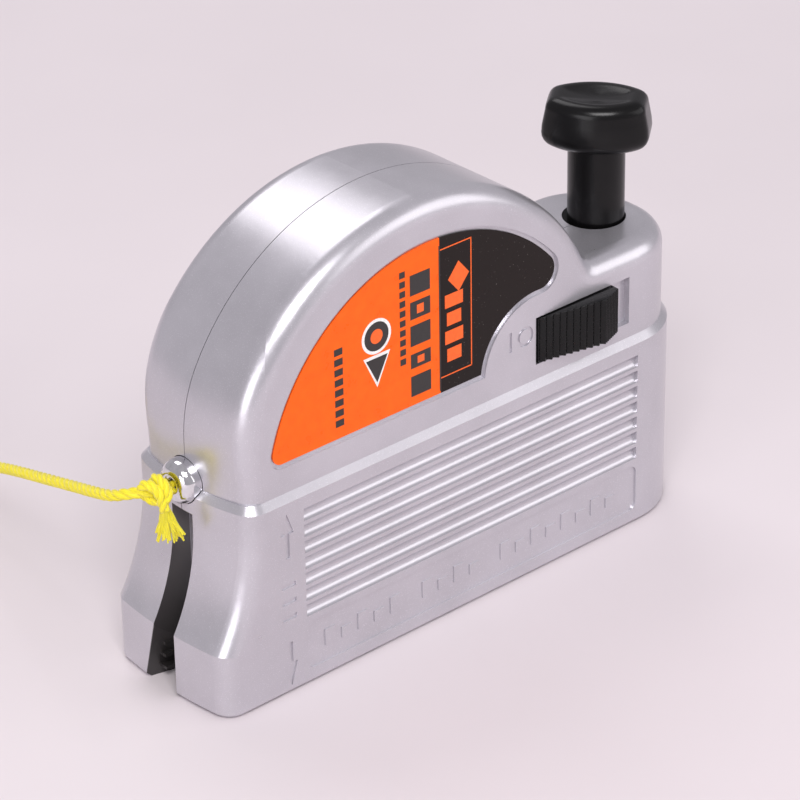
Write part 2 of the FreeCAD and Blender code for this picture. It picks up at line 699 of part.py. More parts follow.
def case_cuts():
    cuts = []
    flange = FERRULE_RADIUS + FERRULE_FLANGE
    seat = FRONT_X + FERRULE_DEPTH
    cuts.append(rod_x(TOE_X, seat - FLANGE_THICK, FERRULE_RADIUS + FERRULE_GAP, LINE_Z))
    cuts.append(rod_x(seat - FLANGE_THICK, seat, flange, LINE_Z))
    cuts.append(rod_x(seat - LAP, seat + GUIDE_LENGTH + LAP, GUIDE_RADIUS, LINE_Z))
    half_slot = SLOT_WIDTH / 2
    cuts.append(box(TOE_X - LAP, TOE_X + SLOT_DEPTH, -half_slot, half_slot, -LAP, TOE_CREASE_Z))
    cuts.append(box(TOE_X - LAP, TOE_X + SLOT_UPPER_DEPTH, -half_slot, half_slot, -LAP,
                    CENTRE_HEIGHT - SLOT_TOP_GAP))
    cuts.append(slot_flare())
    cuts += magnet_pockets()
    cuts.append(rod_y(DOME_X, SPOOL_Z, AXLE_RADIUS, -INNER - LAP, INNER + LAP))
    cuts.append(rod_z(PIN_X, SLEEVE_FOOT, BOSS_HEIGHT - SLEEVE_TOP_DROP, sleeve_radius()))
    cuts.append(rod_z(PIN_X - BOSS_SHIFT, BOSS_HEIGHT - SLEEVE_TOP_DROP - LAP, BOSS_HEIGHT + LAP,
                      STEM_RADIUS + BOSS_GAP))
    cuts.append(rod_z(PIN_X, -LAP, SLEEVE_FOOT, BUSH_RADIUS))
    cuts.append(label_recess())
    cuts += mark_cuts()
    cuts += grip_cuts()
    cuts += [c.mirror(V(0, 0, 0), V(0, 1, 0)) for c in grip_cuts()]
    cuts.append(box(WINDOW_X, WINDOW_X + WINDOW_LENGTH, -UPPER_HALF - LAP,
                    -UPPER_HALF + WINDOW_DEPTH, WINDOW_Z, WINDOW_Z + WINDOW_HEIGHT))
    neck_x = WINDOW_X + SLIDER_GAP + NECK_START
    neck_z = WINDOW_Z + WINDOW_HEIGHT / 2
    cuts.append(box(neck_x - SLIDE_CLEARANCE,
                    neck_x + NECK_LENGTH + LOCK_TRAVEL + SLIDE_CLEARANCE,
                    -UPPER_HALF, -INNER + LAP,
                    neck_z - NECK_HEIGHT / 2 - SLIDE_CLEARANCE,
                    neck_z + NECK_HEIGHT / 2 + SLIDE_CLEARANCE))
    for x, z in screw_places():
        cuts.append(rod_y(x, z, SCREW_RADIUS, -SCREW_GRIP, HALF))
        cuts.append(rod_y(x, z, SCREW_HEAD + 0.2, head_seat(z), HALF + LAP))
    return cuts


def head_seat(z):
    """Depth of a screw head's seat, from whichever wall it sinks into."""
    face = HALF if z < CENTRE_HEIGHT else UPPER_HALF
    return face - SCREW_SINK


def boss_sleeve():
    """Wall that carries the pin sleeve up to the boss."""
    return rod_z(PIN_X, CENTRE_HEIGHT, BOSS_HEIGHT - WALL / 2, sleeve_radius() + POST_WALL)


def case_halves():
    outer = base_solid().fuse(upper_solid())
    hollow = outer.cut(cavity_solid())
    inside = outer.common(Part.makeCompound(case_inside() + [boss_sleeve()]))
    cut = hollow.fuse(inside.Solids).cut(case_cuts() + parting_groove(outer).Solids)
    ribs = outer.common(Part.makeCompound(slot_ribs()))
    whole = cut.fuse(panel_dashes() + ribs.Solids)
    near = box(TOE_X - 5, REAR_X + 5, -HALF - 5, 0, -5, CENTRE_HEIGHT + DOME_RADIUS + 5)
    far = box(TOE_X - 5, REAR_X + 5, 0, HALF + 5, -5, CENTRE_HEIGHT + DOME_RADIUS + 5)
    return largest(whole.common(near)), largest(whole.common(far))


def largest(shape):
    return max(shape.Solids, key=lambda s: s.Volume)


def case_screws():
    screws = []
    for x, z in screw_places():
        seat = head_seat(z)
        shank = rod_y(x, z, SCREW_RADIUS, -SCREW_GRIP, seat)
        head = rod_y(x, z, SCREW_HEAD, seat, seat + SCREW_HEAD_HEIGHT)
        bed = seat + SCREW_HEAD_HEIGHT / 2
        reach = SCREW_CROSS_REACH
        recess = box(x - reach, x + reach, bed, HALF, z - SCREW_CROSS, z + SCREW_CROSS)
        cross = box(x - SCREW_CROSS, x + SCREW_CROSS, bed, HALF, z - reach, z + reach)
        screws.append(shank.fuse(head).cut([recess, cross]).removeSplitter())
    return Part.makeCompound(screws)


# ---- nose --------------------------------------------------------------------------
def line_ferrule():
    seat = FRONT_X + FERRULE_DEPTH
    body = rod_x(EXIT_X, seat, FERRULE_RADIUS, LINE_Z)
    crown = [e for e in body.Edges if abs(e.BoundBox.XMax - EXIT_X) < 0.01]
    body = body.makeFillet(FERRULE_RADIUS * 0.5, crown)
    flange = rod_x(seat - FLANGE_THICK, seat, FERRULE_RADIUS + FERRULE_FLANGE, LINE_Z)
    bore = rod_x(EXIT_X - LAP, seat + LAP, FERRULE_BORE, LINE_Z)
    return body.fuse(flange).cut(bore).removeSplitter()


def line_guide():
    start = FRONT_X + FERRULE_DEPTH
    end = start + GUIDE_LENGTH
    return rod_x(start, end, GUIDE_RADIUS, LINE_Z).cut(
        rod_x(start, end, FERRULE_BORE, LINE_Z))


def line_run():
    return rod_x(EXIT_X, DOME_X - 1.0, LINE_DIAMETER / 2, LINE_Z)


def line_knot(wire):
    """Two lumps of a simple knot, flat against the ferrule, with its cut tail."""
    r = KNOT_RADIUS
    x = EXIT_X - r * 0.7
    z = LINE_Z + KNOT_RISE
    lump = Part.makeSphere(r, V(x, 0, z))
    second = Part.makeSphere(r * 0.86, V(x - r * 0.9, r * 0.4, z))
    tail = Part.makeCone(r * 0.4, r * 0.8, TAIL_LENGTH, V(x, -r * 0.3, z - r * 0.4),
                         V(-0.1, -0.25, -1))
    knot = lump.fuse([second, tail])
    keep = box(x - 4 * r, EXIT_X, -4 * r, 4 * r, LINE_Z - 4 * r, LINE_Z + 4 * r)
    passage = route_tube(wire, CORD_DIAMETER / 2 + KNOT_GAP)
    return largest(knot.common(keep).cut(passage).removeSplitter())


# ---- spool -------------------------------------------------------------------------
def line_spool():
    bore = AXLE_RADIUS + AXLE_CLEARANCE
    hub = rod_y(DOME_X, SPOOL_Z, HUB_RADIUS, BRAKE_FACE, CUP_BED)
    brake = rod_y(DOME_X, SPOOL_Z, BRAKE_RADIUS, BRAKE_FACE, -WINDING_FACE)
    floor = rod_y(DOME_X, SPOOL_Z, CUP_RADIUS, WINDING_FACE, CUP_BED)
    wall = tube_y(DOME_X, SPOOL_Z, CUP_RADIUS, CUP_RADIUS - CUP_WALL, CUP_BED, CUP_RIM)
    spool = hub.fuse([brake, floor, wall])
    windows = []
    for i in range(6):
        t = math.radians(60 * i)
        reach = (WOUND_RADIUS + BRAKE_RADIUS) / 2
        windows.append(rod_y(DOME_X + reach * math.cos(t), SPOOL_Z + reach * math.sin(t),
                             3.0, BRAKE_FACE, -WINDING_FACE))
    return spool.cut(windows + [rod_y(DOME_X, SPOOL_Z, bore, BRAKE_FACE, CUP_BED)]).removeSplitter()


def wound_line():
    return tube_y(DOME_X, SPOOL_Z, WOUND_RADIUS, HUB_RADIUS, -WINDING_FACE, WINDING_FACE)


def spring_cover():
    return tube_y(DOME_X, SPOOL_Z, CUP_RADIUS, COVER_BORE, CUP_RIM, COVER_TOP)


def rewind_spring():
    """Flat spiral strip: half circles whose centre steps from side to side."""
    inner = ARBOR_RADIUS + 2 * SPRING_GAP
    outer = CUP_RADIUS - CUP_WALL - SPRING_GAP
    pitch = (outer - inner - SPRING_STRIP) / SPRING_TURNS
    y = CUP_BED + SPRING_GAP
    near_edges = []
    far_edges = []
    radius = inner + SPRING_STRIP / 2
    for k in range(2 * SPRING_TURNS):
        side = 1 if k % 2 == 0 else -1
        if k:
            radius += pitch / 2
        centre_x = DOME_X - side * pitch / 4
        for offset, edges in ((-SPRING_STRIP / 2, near_edges), (SPRING_STRIP / 2, far_edges)):
            r = radius + offset
            a = V(centre_x + side * r, y, SPOOL_Z)
            m = V(centre_x, y, SPOOL_Z + side * r)
            b = V(centre_x - side * r, y, SPOOL_Z)
            edges.append(arc(a, m, b))
    start = line(near_edges[0].firstVertex(True).Point, far_edges[0].firstVertex(True).Point)
    end = line(near_edges[-1].lastVertex(True).Point, far_edges[-1].lastVertex(True).Point)
    wire = Part.Wire(Part.__sortEdges__(near_edges + [end] + far_edges + [start]))
    return Part.Face(wire).extrude(V(0, SPRING_WIDTH, 0))


def spring_arbor():
    arbor = tube_y(DOME_X, SPOOL_Z, ARBOR_RADIUS, AXLE_RADIUS, CUP_BED + SPRING_GAP,
                   COVER_TOP + SIDE_PLAY)
    slit = box(DOME_X - 0.4, DOME_X + 0.4, 0, HALF, SPOOL_Z, SPOOL_Z + ARBOR_RADIUS + LAP)
    return arbor.cut(slit)


def spool_axle():
    return rod_y(DOME_X, SPOOL_Z, AXLE_RADIUS, -INNER - LAP, INNER + LAP)


# ---- line lock ---------------------------------------------------------------------
def rib_points(a, b, count, depth):
    """Zigzag from a to b whose valleys sink into the slider."""
    points = []
    for i in range(count):
        points.append(a + (b - a) * (i / count))
        points.append(a + (b - a) * ((i + 0.5) / count) + V(0, depth, 0))
    return points


def lock_slider():
    """Thumb piece: a ribbed wedge that rises to a crest, on a neck through the case."""
    x0 = WINDOW_X + SLIDER_GAP
    x1 = x0 + SLIDER_LENGTH
    z0 = WINDOW_Z + SLIDER_GAP
    z1 = WINDOW_Z + WINDOW_HEIGHT - SLIDER_GAP
    back = -UPPER_HALF + WINDOW_DEPTH - SLIDE_CLEARANCE
    face = -UPPER_HALF
    crest = x0 + SLIDER_PEAK
    top = V(crest, face - CREST_RISE, z0)
    near = V(x0, face - SLIDER_NEAR_RISE, z0)
    far = V(x1, face - TAIL_RISE, z0)
    outline = [V(x0, back, z0), V(x1, back, z0)]
    outline += rib_points(far, top, FINE_RIB_COUNT, FINE_RIB_DEPTH)
    outline += rib_points(top, near, RIB_COUNT, RIB_DEPTH)
    outline += [near, V(x0, back, z0)]
    body = Part.Face(Part.makePolygon(outline)).extrude(V(0, 0, z1 - z0))
    neck_x = x0 + NECK_START
    neck_z = WINDOW_Z + WINDOW_HEIGHT / 2
    neck = box(neck_x, neck_x + NECK_LENGTH, back - LAP, -INNER + SLIDE_CLEARANCE,
               neck_z - NECK_HEIGHT / 2, neck_z + NECK_HEIGHT / 2)
    return body.fuse(neck).removeSplitter()


def shoe_x():
    """Left face of the brake shoe, just off the brake rim at the lock's height."""
    rise = WINDOW_Z + WINDOW_HEIGHT / 2 - SPOOL_Z
    return DOME_X + math.sqrt(BRAKE_RADIUS ** 2 - rise ** 2) + SHOE_GAP


def brake_shoe():
    """Rubber pad hollowed to the brake rim."""
    z = WINDOW_Z + WINDOW_HEIGHT / 2
    x0 = shoe_x() - 2.0
    x1 = shoe_x() + SHOE_THICK
    pad = box(x0, x1, BRAKE_FACE, -WINDING_FACE, z - SHOE_HEIGHT / 2, z + SHOE_HEIGHT / 2)
    return pad.cut(rod_y(DOME_X, SPOOL_Z, BRAKE_RADIUS + SHOE_GAP, -HALF, HALF))


def brake_carrier():
    z = WINDOW_Z + WINDOW_HEIGHT / 2
    x0 = shoe_x() + SHOE_THICK
    neck_x = WINDOW_X + SLIDER_GAP + NECK_START
    y0 = -INNER + SLIDE_CLEARANCE
    plate = box(neck_x - 3.0, neck_x + NECK_LENGTH + 3.0, y0, y0 + CARRIER_THICK,
                z - WINDOW_HEIGHT / 2, z + WINDOW_HEIGHT / 2)
    arm = box(x0, x0 + ARM_REACH, y0, -WINDING_FACE, z - SHOE_HEIGHT / 2, z + SHOE_HEIGHT / 2)
    drill = rod_y(carrier_screw_x(), z, CARRIER_SCREW_RADIUS, -HALF, y0 + CARRIER_THICK)
    return plate.fuse(arm).cut(drill).removeSplitter()


def carrier_screw_x():
    return WINDOW_X + SLIDER_GAP + NECK_START + NECK_LENGTH / 2 + 1.0


def carrier_screw():
    z = WINDOW_Z + WINDOW_HEIGHT / 2
    x = carrier_screw_x()
    y0 = -INNER + SLIDE_CLEARANCE
    top = y0 + CARRIER_THICK
    head_r = 2 * CARRIER_SCREW_RADIUS
    shank = rod_y(x, z, CARRIER_SCREW_RADIUS, y0, top)
    head = rod_y(x, z, head_r, top, top + 1.0)
    slot = box(x - head_r, x + head_r, top + 0.5, top + 1.0, z - 0.25, z + 0.25)
    return shank.fuse(head).cut(slot).removeSplitter()


def lock_detent_spring():
    """Leaf under the carrier that gives the lock its two clicks."""
    z = WINDOW_Z - SLIDE_CLEARANCE
    x = WINDOW_X + SLIDER_GAP + NECK_START
    bump = z - 0.6 - LEAF_THICK
    dip = z - 1.2 - LEAF_THICK
    outline = [V(x - 6, 0, z - 2.4), V(x, 0, bump), V(x + 4, 0, dip), V(x + 8, 0, bump),
               V(x + 14, 0, z - 2.4)]
    lower = [p + V(0, 0, -LEAF_THICK) for p in reversed(outline)]
    profile = Part.Face(Part.makePolygon(outline + lower + [outline[0]]))
    leaf = profile.extrude(V(0, LEAF_WIDTH, 0))
    leaf.translate(V(0, -INNER, 0))
    return leaf


# ---- push pin ----------------------------------------------------------------------
def pin_knob():
    """Stem and dished head with two flats."""
    foot = STEM_FOOT_Z
    head_z = BOSS_HEIGHT + PIN_TRAVEL + HEAD_CLEARANCE
    stem = rod_z(PIN_X, foot, head_z + 1.0, STEM_RADIUS)
    reach = HEAD_ARC - HEAD_DEPTH / 2
    front = rod_z(0, 0, HEAD_THICK, HEAD_ARC, -reach)
    back = rod_z(0, 0, HEAD_THICK, HEAD_ARC, reach)
    flats = box(-HEAD_WIDTH / 2, HEAD_WIDTH / 2, -HEAD_DEPTH, HEAD_DEPTH, 0, HEAD_THICK)
    head = front.common(back).common(flats)
    lower = [e for e in head.Edges if e.BoundBox.ZMax < 0.01 and e.BoundBox.XLength > 5]
    head = head.makeFillet(HEAD_EDGE, lower)
    dish = Part.makeSphere(DISH_RADIUS, V(0, 0, HEAD_THICK - DISH_DEPTH + DISH_RADIUS))
    head = head.cut(dish)
    head.rotate(V(0, 0, 0), V(0, 0, 1), HEAD_TURN)
    head.translate(V(PIN_X, 0, head_z))
    bore = rod_z(PIN_X, foot - LAP, foot + NEEDLE_BED, NEEDLE_RADIUS)
    groove = tube_z(PIN_X, foot, foot + STOP_THICK, STEM_RADIUS + LAP, STEM_RADIUS - 1.0)
    return stem.fuse(head).cut([bore, groove]).removeSplitter()


def stop_ring():
    return tube_z(PIN_X, STEM_FOOT_Z, STEM_FOOT_Z + STOP_THICK,
                  STEM_RADIUS + HOLE_GAP - 2 * STEM_CLEARANCE, STEM_RADIUS - 1.0)


def pin_needle():
    top = STEM_FOOT_Z + NEEDLE_BED
    shank = rod_z(PIN_X, NEEDLE_TIP_Z + NEEDLE_POINT, top, NEEDLE_RADIUS)
    point = Part.makeCone(0.1, NEEDLE_RADIUS, NEEDLE_POINT, V(PIN_X, 0, NEEDLE_TIP_Z), V(0, 0, 1))
    return shank.fuse(point).removeSplitter()


def pin_sleeve():
    outer = sleeve_radius()
    top = BOSS_HEIGHT - SLEEVE_TOP_DROP
    sleeve = tube_z(PIN_X, SLEEVE_FOOT, top, outer, STEM_RADIUS + HOLE_GAP)
    floor = tube_z(PIN_X, SLEEVE_FOOT, SLEEVE_FOOT + SLEEVE_FLOOR, outer,
                   NEEDLE_RADIUS + 2 * NEEDLE_CLEARANCE)
    return sleeve.fuse(floor).removeSplitter()


def pin_bush():
    foot = STEM_FOOT_Z + STOP_THICK
    return tube_z(PIN_X, foot, BOSS_HEIGHT - BUSH_TOP_DROP, STEM_RADIUS + HOLE_GAP,
                  STEM_RADIUS + STEM_CLEARANCE)


def needle_bush():
    return tube_z(PIN_X, 0, SLEEVE_FOOT, BUSH_RADIUS, NEEDLE_RADIUS + NEEDLE_CLEARANCE)


def pin_spring():
    foot = SLEEVE_FOOT + SLEEVE_FLOOR
    radius = STEM_RADIUS + HOLE_GAP - COIL_GAP - COIL_WIRE / 2 - 0.6
    rise = STEM_FOOT_Z - foot - COIL_WIRE - 0.2
    helix = Part.makeHelix(rise / COIL_TURNS, rise, radius)
    helix.translate(V(PIN_X, 0, foot + COIL_WIRE / 2 + 0.1))
    start = V(PIN_X + radius, 0, foot + COIL_WIRE / 2 + 0.1)
    section = Part.Wire(Part.makeCircle(COIL_WIRE / 2, start, V(0, 1, 0)))
    return Part.Wire(helix.Edges).makePipeShell([section], True, True)


# ---- magnets -----------------------------------------------------------------------
def magnet(x):
    half_l = MAGNET_LENGTH / 2
    half_w = MAGNET_WIDTH / 2
    foot = POLE_HEIGHT - MAGNET_HEIGHT
    return box(x - half_l, x + half_l, -half_w, half_w, foot, POLE_HEIGHT)


def pole_plates(x):
    half_l = MAGNET_LENGTH / 2
    inner = MAGNET_WIDTH / 2
    near = box(x - half_l, x + half_l, -inner - POLE_THICK, -inner, 0, POLE_HEIGHT)
    far = box(x - half_l, x + half_l, inner, inner + POLE_THICK, 0, POLE_HEIGHT)
    return Part.makeCompound([near, far])


def keeper(x):
    half_l = MAGNET_LENGTH / 2
    half_w = MAGNET_WIDTH / 2 + POLE_THICK
    return box(x - half_l, x + half_l, -half_w, half_w, POLE_HEIGHT, POLE_HEIGHT + KEEPER_THICK)


# ---- free line and bob ----------------------------------------------------------------
# The route starts at the knot and runs down to the surface beside the body.
ROUTE = [
    (EXIT_X - 3.3, 0.4, LINE_Z),
    (EXIT_X - 6.4, 3.8, LINE_Z - 0.8),
    (EXIT_X - 7.2, 8.0, LINE_Z - 2.7),
    (EXIT_X - 5.9, 14.6, LINE_Z - 5.2),
    (EXIT_X - 3.4, 24.6, LINE_Z - 9.2),
    (EXIT_X - 0.8, 37.4, LINE_Z - 14.0),
    (EXIT_X + 3.2, 54.0, LINE_Z - 20.6),
    (EXIT_X + 5.9, 67.0, LINE_Z - 26.3),
    (EXIT_X + 7.6, 78.5, LINE_Z - 31.4),
    (EXIT_X + 8.0, 89.0, BOB_RADIUS),
]


def route_wire(points):
    """Straight runs joined by arcs that are tangent to both; prints each radius."""
    pts = [V(*p) for p in points]
    edges = []
    last = pts[0]
    radii = []
    for i in range(1, len(pts) - 1):
        a, b, c = pts[i - 1], pts[i], pts[i + 1]
        back = (a - b).normalize()
        ahead = (c - b).normalize()
        shorter = min((a - b).Length, (c - b).Length)
        turn = math.pi - back.getAngle(ahead)
        bend = 0.45 * shorter / math.tan(turn / 2)
        radii.append(bend)
        setback = 0.45 * shorter
        start = b + back * setback
        end = b + ahead * setback
        inward = (back + ahead).normalize()
        centre = b + inward * (bend / math.cos(turn / 2))
        middle = centre - inward * bend
        edges.append(line(last, start))
        edges.append(arc(start, middle, end))
        last = end
    edges.append(line(last, pts[-1]))
    wire = Part.Wire(edges)
    print("route radii", [round(r, 1) for r in radii], "length", round(wire.Length, 1))
    return wire


def route_tube(wire, radius):
    start = V(*ROUTE[0])
    section = Part.Wire(Part.makeCircle(radius, start, V(*ROUTE[1]) - start))
    tube = wire.makePipeShell([section], True, False)
    print("tube against length", round(tube.Volume / (math.pi * radius ** 2 * wire.Length), 4))
    return tube


def lay(shape):
    """Puts a piece drawn along +X from the origin at the end of the route, lying flat."""
    a, b = V(*ROUTE[-2]), V(*ROUTE[-1])
    heading = math.degrees(math.atan2(b.y - a.y, b.x - a.x))
    shape.rotate(V(0, 0, 0), V(0, 0, 1), heading)
    shape.translate(V(b.x, b.y, BOB_RADIUS))
    return shape


def bob_cap():
    neck = Part.makeCone(CAP_RADIUS * 0.55, CAP_RADIUS, CAP_LENGTH * 0.4, V(0, 0, 0), V(1, 0, 0))
    drum = Part.makeCylinder(CAP_RADIUS, CAP_LENGTH * 0.6, V(CAP_LENGTH * 0.4, 0, 0), V(1, 0, 0))
    return lay(neck.fuse(drum).removeSplitter())


def plumb_bob():
    x = CAP_LENGTH
    neck = Part.makeCylinder(BOB_NECK, 1.0, V(x, 0, 0), V(1, 0, 0))
    shoulder = Part.makeCone(BOB_NECK, BOB_RADIUS, 4.0, V(x + 1.0, 0, 0), V(1, 0, 0))
    body = Part.makeCylinder(BOB_RADIUS, BOB_BODY, V(x + 5.0, 0, 0), V(1, 0, 0))
    point = Part.makeCone(BOB_RADIUS, 0.4, BOB_POINT, V(x + 5.0 + BOB_BODY, 0, 0), V(1, 0, 0))
    return lay(neck.fuse([shoulder, body, point]).removeSplitter())


# ---- build ---------------------------------------------------------------------------
def main():
    os.makedirs("parts", exist_ok=True)
    label_half, back_half = case_halves()
    free_route = route_wire(ROUTE)
    pieces = {
        "label_side_shell": label_half,
        "back_side_shell": back_half,
        "side_label": label_plate(),
        "case_screws": case_screws(),
        "line_ferrule": line_ferrule(),
        "line_guide": line_guide(),
        "line_run": line_run(),
        "line_knot": line_knot(free_route),
        "line_spool": line_spool(),
        "wound_line": wound_line(),
        "spring_cover": spring_cover(),
        "rewind_spring": rewind_spring(),
        "spring_arbor": spring_arbor(),
        "spool_axle": spool_axle(),
        "lock_slider": lock_slider(),
        "brake_shoe": brake_shoe(),
        "brake_carrier": brake_carrier(),
        "carrier_screw": carrier_screw(),
        "lock_detent_spring": lock_detent_spring(),
        "pin_knob": pin_knob(),
        "stop_ring": stop_ring(),
        "pin_needle": pin_needle(),
        "pin_sleeve": pin_sleeve(),
        "pin_bush": pin_bush(),
        "needle_bush": needle_bush(),
        "pin_spring": pin_spring(),
        "front_magnet": magnet(FRONT_MAGNET_X),
        "rear_magnet": magnet(REAR_MAGNET_X),
        "front_pole_plates": pole_plates(FRONT_MAGNET_X),
        "rear_pole_plates": pole_plates(REAR_MAGNET_X),
        "front_keeper": keeper(FRONT_MAGNET_X),
        "rear_keeper": keeper(REAR_MAGNET_X),
        "plumb_line": route_tube(free_route, CORD_DIAMETER / 2),
        "bob_cap": bob_cap(),
        "plumb_bob": plumb_bob(),
    }
    for name, shape in pieces.items():
        print(name, "solids", len(shape.Solids), "valid", shape.isValid(),
              "volume", round(shape.Volume, 2))
        shape.exportStep("parts/" + name + ".step")


main()
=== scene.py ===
"""Looks for a magnetic plumb-line reel: satin silver case, printed label, chrome nose,
twisted yellow line with its knot and bob, ribbed lock slider and dished push pin."""
import bmesh
import bpy
import math
import random
from mathutils import Matrix, Vector


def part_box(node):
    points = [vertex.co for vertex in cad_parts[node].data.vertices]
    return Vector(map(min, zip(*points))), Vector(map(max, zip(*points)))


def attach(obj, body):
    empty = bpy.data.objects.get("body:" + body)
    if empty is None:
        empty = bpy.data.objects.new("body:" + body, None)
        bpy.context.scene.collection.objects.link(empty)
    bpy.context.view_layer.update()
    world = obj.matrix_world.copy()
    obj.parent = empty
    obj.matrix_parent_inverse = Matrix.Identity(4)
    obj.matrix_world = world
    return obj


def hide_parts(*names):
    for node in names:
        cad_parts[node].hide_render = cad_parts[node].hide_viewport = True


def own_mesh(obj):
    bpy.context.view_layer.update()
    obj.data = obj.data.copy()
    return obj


bl_info = {
    "name": "Plumb line reel",
    "version": (1, 0, 0),
    "blender": (4, 5, 0),
    "location": "View3D > Sidebar > Line reel",
    "description": "Builds the visible pieces of a magnetic plumb-line reel round its CAD frame",
    "category": "Object",
}

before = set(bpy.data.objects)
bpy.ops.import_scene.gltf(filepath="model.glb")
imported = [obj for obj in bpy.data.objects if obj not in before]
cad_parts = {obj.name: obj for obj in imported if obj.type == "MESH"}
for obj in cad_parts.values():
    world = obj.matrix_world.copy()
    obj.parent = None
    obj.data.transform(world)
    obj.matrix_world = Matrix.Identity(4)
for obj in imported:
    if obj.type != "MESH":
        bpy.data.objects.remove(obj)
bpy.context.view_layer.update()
MM = 0.001
LINE_STEP = 0.00045
KNOT_STEP = 0.0003
STRAND_SWELL = 1.22     # strands press into each other, so each is drawn a little fat

# Places taken from the frame.
FERRULE_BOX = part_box("line_ferrule")
SLIDER_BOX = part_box("lock_slider")
KNOB_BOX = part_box("pin_knob")
LABEL_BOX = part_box("side_label")
EXIT_X = FERRULE_BOX[0][0]
TOE_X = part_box("label_side_shell")[0][0]
LINE_Z = (FERRULE_BOX[0][2] + FERRULE_BOX[1][2]) / 2
BOB_RADIUS = (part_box("plumb_bob")[1][2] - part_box("plumb_bob")[0][2]) / 2

# The line slot down the nose: bare dark plastic inside, with painted shade that deepens towards
# its bottom.
SLOT_HALF = 0.00284
SLOT_TOP = 0.0357
SLOT_UPPER_BACK = TOE_X + 0.0091
SLOT_TOE_BACK = TOE_X + 0.0158
SLOT_TOE_TOP = 0.0131
FLARE_TOP = 0.013
FLARE_BACK = TOE_X + 0.014
FLARE_FRONT = TOE_X - 0.0006
FLARE_GROWTH = 0.0036

# The label's two printed fields meet at this x, and the plumb sign is centred on the other.
LABEL_SPLIT = -0.0057
SIGN_X = -0.02065

# The push pin's head: two wide arcs cut by two flats, in millimetres.
STEM_RADIUS = 5.4
HEAD_ARC = 14.0
HEAD_REACH = 5.9
HEAD_FLAT = 10.05
HEAD_HEIGHT = 0.0098
HEAD_TURN = math.radians(-51)
HEAD_STEPS = 120

CAMERA_PLACE = Vector((-0.3870, -0.4360, 0.3591))
CAMERA_AIM = Vector((0.00567, 0.00942, 0.03094))
CAMERA_LENS = 163.7
CAMERA_ROLL = math.radians(-0.97)

# The free line's route, from the knot to the bob, in metres.
ROUTE = [
    (EXIT_X - 0.0033, 0.0004, LINE_Z),
    (EXIT_X - 0.0064, 0.0038, LINE_Z - 0.0008),
    (EXIT_X - 0.0072, 0.0080, LINE_Z - 0.0027),
    (EXIT_X - 0.0059, 0.0146, LINE_Z - 0.0052),
    (EXIT_X - 0.0034, 0.0246, LINE_Z - 0.0092),
    (EXIT_X - 0.0008, 0.0374, LINE_Z - 0.0140),
    (EXIT_X + 0.0032, 0.0540, LINE_Z - 0.0206),
    (EXIT_X + 0.0059, 0.0670, LINE_Z - 0.0263),
    (EXIT_X + 0.0076, 0.0785, LINE_Z - 0.0314),
    (EXIT_X + 0.0080, 0.0890, BOB_RADIUS),
]


# ---- sizes and colours a user would change ------------------------------------------
class ReelSizes(bpy.types.PropertyGroup):
    cord_diameter: bpy.props.FloatProperty(
        name="Line diameter", description="Thickness of the twisted line outside the nose",
        default=0.0022, min=0.001, max=0.004, unit="LENGTH")
    strand_lay: bpy.props.FloatProperty(
        name="Lay length", description="Length of line in which a strand goes once round",
        default=0.0064, min=0.002, max=0.02, unit="LENGTH")
    strand_count: bpy.props.IntProperty(
        name="Strands", description="Strands twisted into the line", default=3, min=2, max=4)
    fray_fibres: bpy.props.IntProperty(
        name="Frayed fibres", description="Fibres in the knot's cut tail",
        default=54, min=8, max=200)
    print_height: bpy.props.FloatProperty(
        name="Print height", description="Thickness of the ink on the label",
        default=0.00004, min=0.00001, max=0.0002, unit="LENGTH")


class ReelColours(bpy.types.PropertyGroup):
    paint: bpy.props.FloatVectorProperty(
        name="Case paint", description="Silver paint on the case", subtype="COLOR",
        size=3, default=(0.56, 0.545, 0.585), min=0, max=1)
    orange: bpy.props.FloatVectorProperty(
        name="Label orange", description="Bright field of the label", subtype="COLOR",
        size=3, default=(0.96, 0.13, 0.006), min=0, max=1)
    dark: bpy.props.FloatVectorProperty(
        name="Label dark", description="Dark field of the label", subtype="COLOR",
        size=3, default=(0.010, 0.006, 0.005), min=0, max=1)
    yarn: bpy.props.FloatVectorProperty(
        name="Line yellow", description="Fibres of the line", subtype="COLOR",
        size=3, default=(0.90, 0.78, 0.02), min=0, max=1)
    floor: bpy.props.FloatVectorProperty(
        name="Floor", description="Pale floor and backdrop", subtype="COLOR",
        size=3, default=(0.70, 0.64, 0.665), min=0, max=1)


def sizes():
    return bpy.context.scene.reel_sizes


def colours():
    return bpy.context.scene.reel_colours


# ---- modelling helpers ---------------------------------------------------------------
def object_mode():
    if bpy.context.object and bpy.context.object.mode != "OBJECT":
        bpy.ops.object.mode_set(mode="OBJECT")
    bpy.ops.object.select_all(action="DESELECT")


def only(obj):
    """Makes a piece the only selected and active one."""
    object_mode()
    obj.select_set(True)
    bpy.context.view_layer.objects.active = obj


def edit_all(obj):
    only(obj)
    bpy.ops.object.mode_set(mode="EDIT")
    bpy.ops.mesh.select_all(action="SELECT")


def settle(obj):
    """Moves a piece's place into its mesh, so that its object stands at the origin."""
    only(obj)
    bpy.ops.object.transform_apply(location=True, rotation=True, scale=True)
    return obj


def soften(obj, angle=40.0):
    only(obj)
    bpy.ops.object.shade_smooth_by_angle(angle=math.radians(angle))
    return obj


def outward(obj, merge=0.000002):
    edit_all(obj)
    bpy.ops.mesh.remove_doubles(threshold=merge)
    bpy.ops.mesh.normals_make_consistent(inside=False)
    bpy.ops.object.mode_set(mode="OBJECT")
    return obj


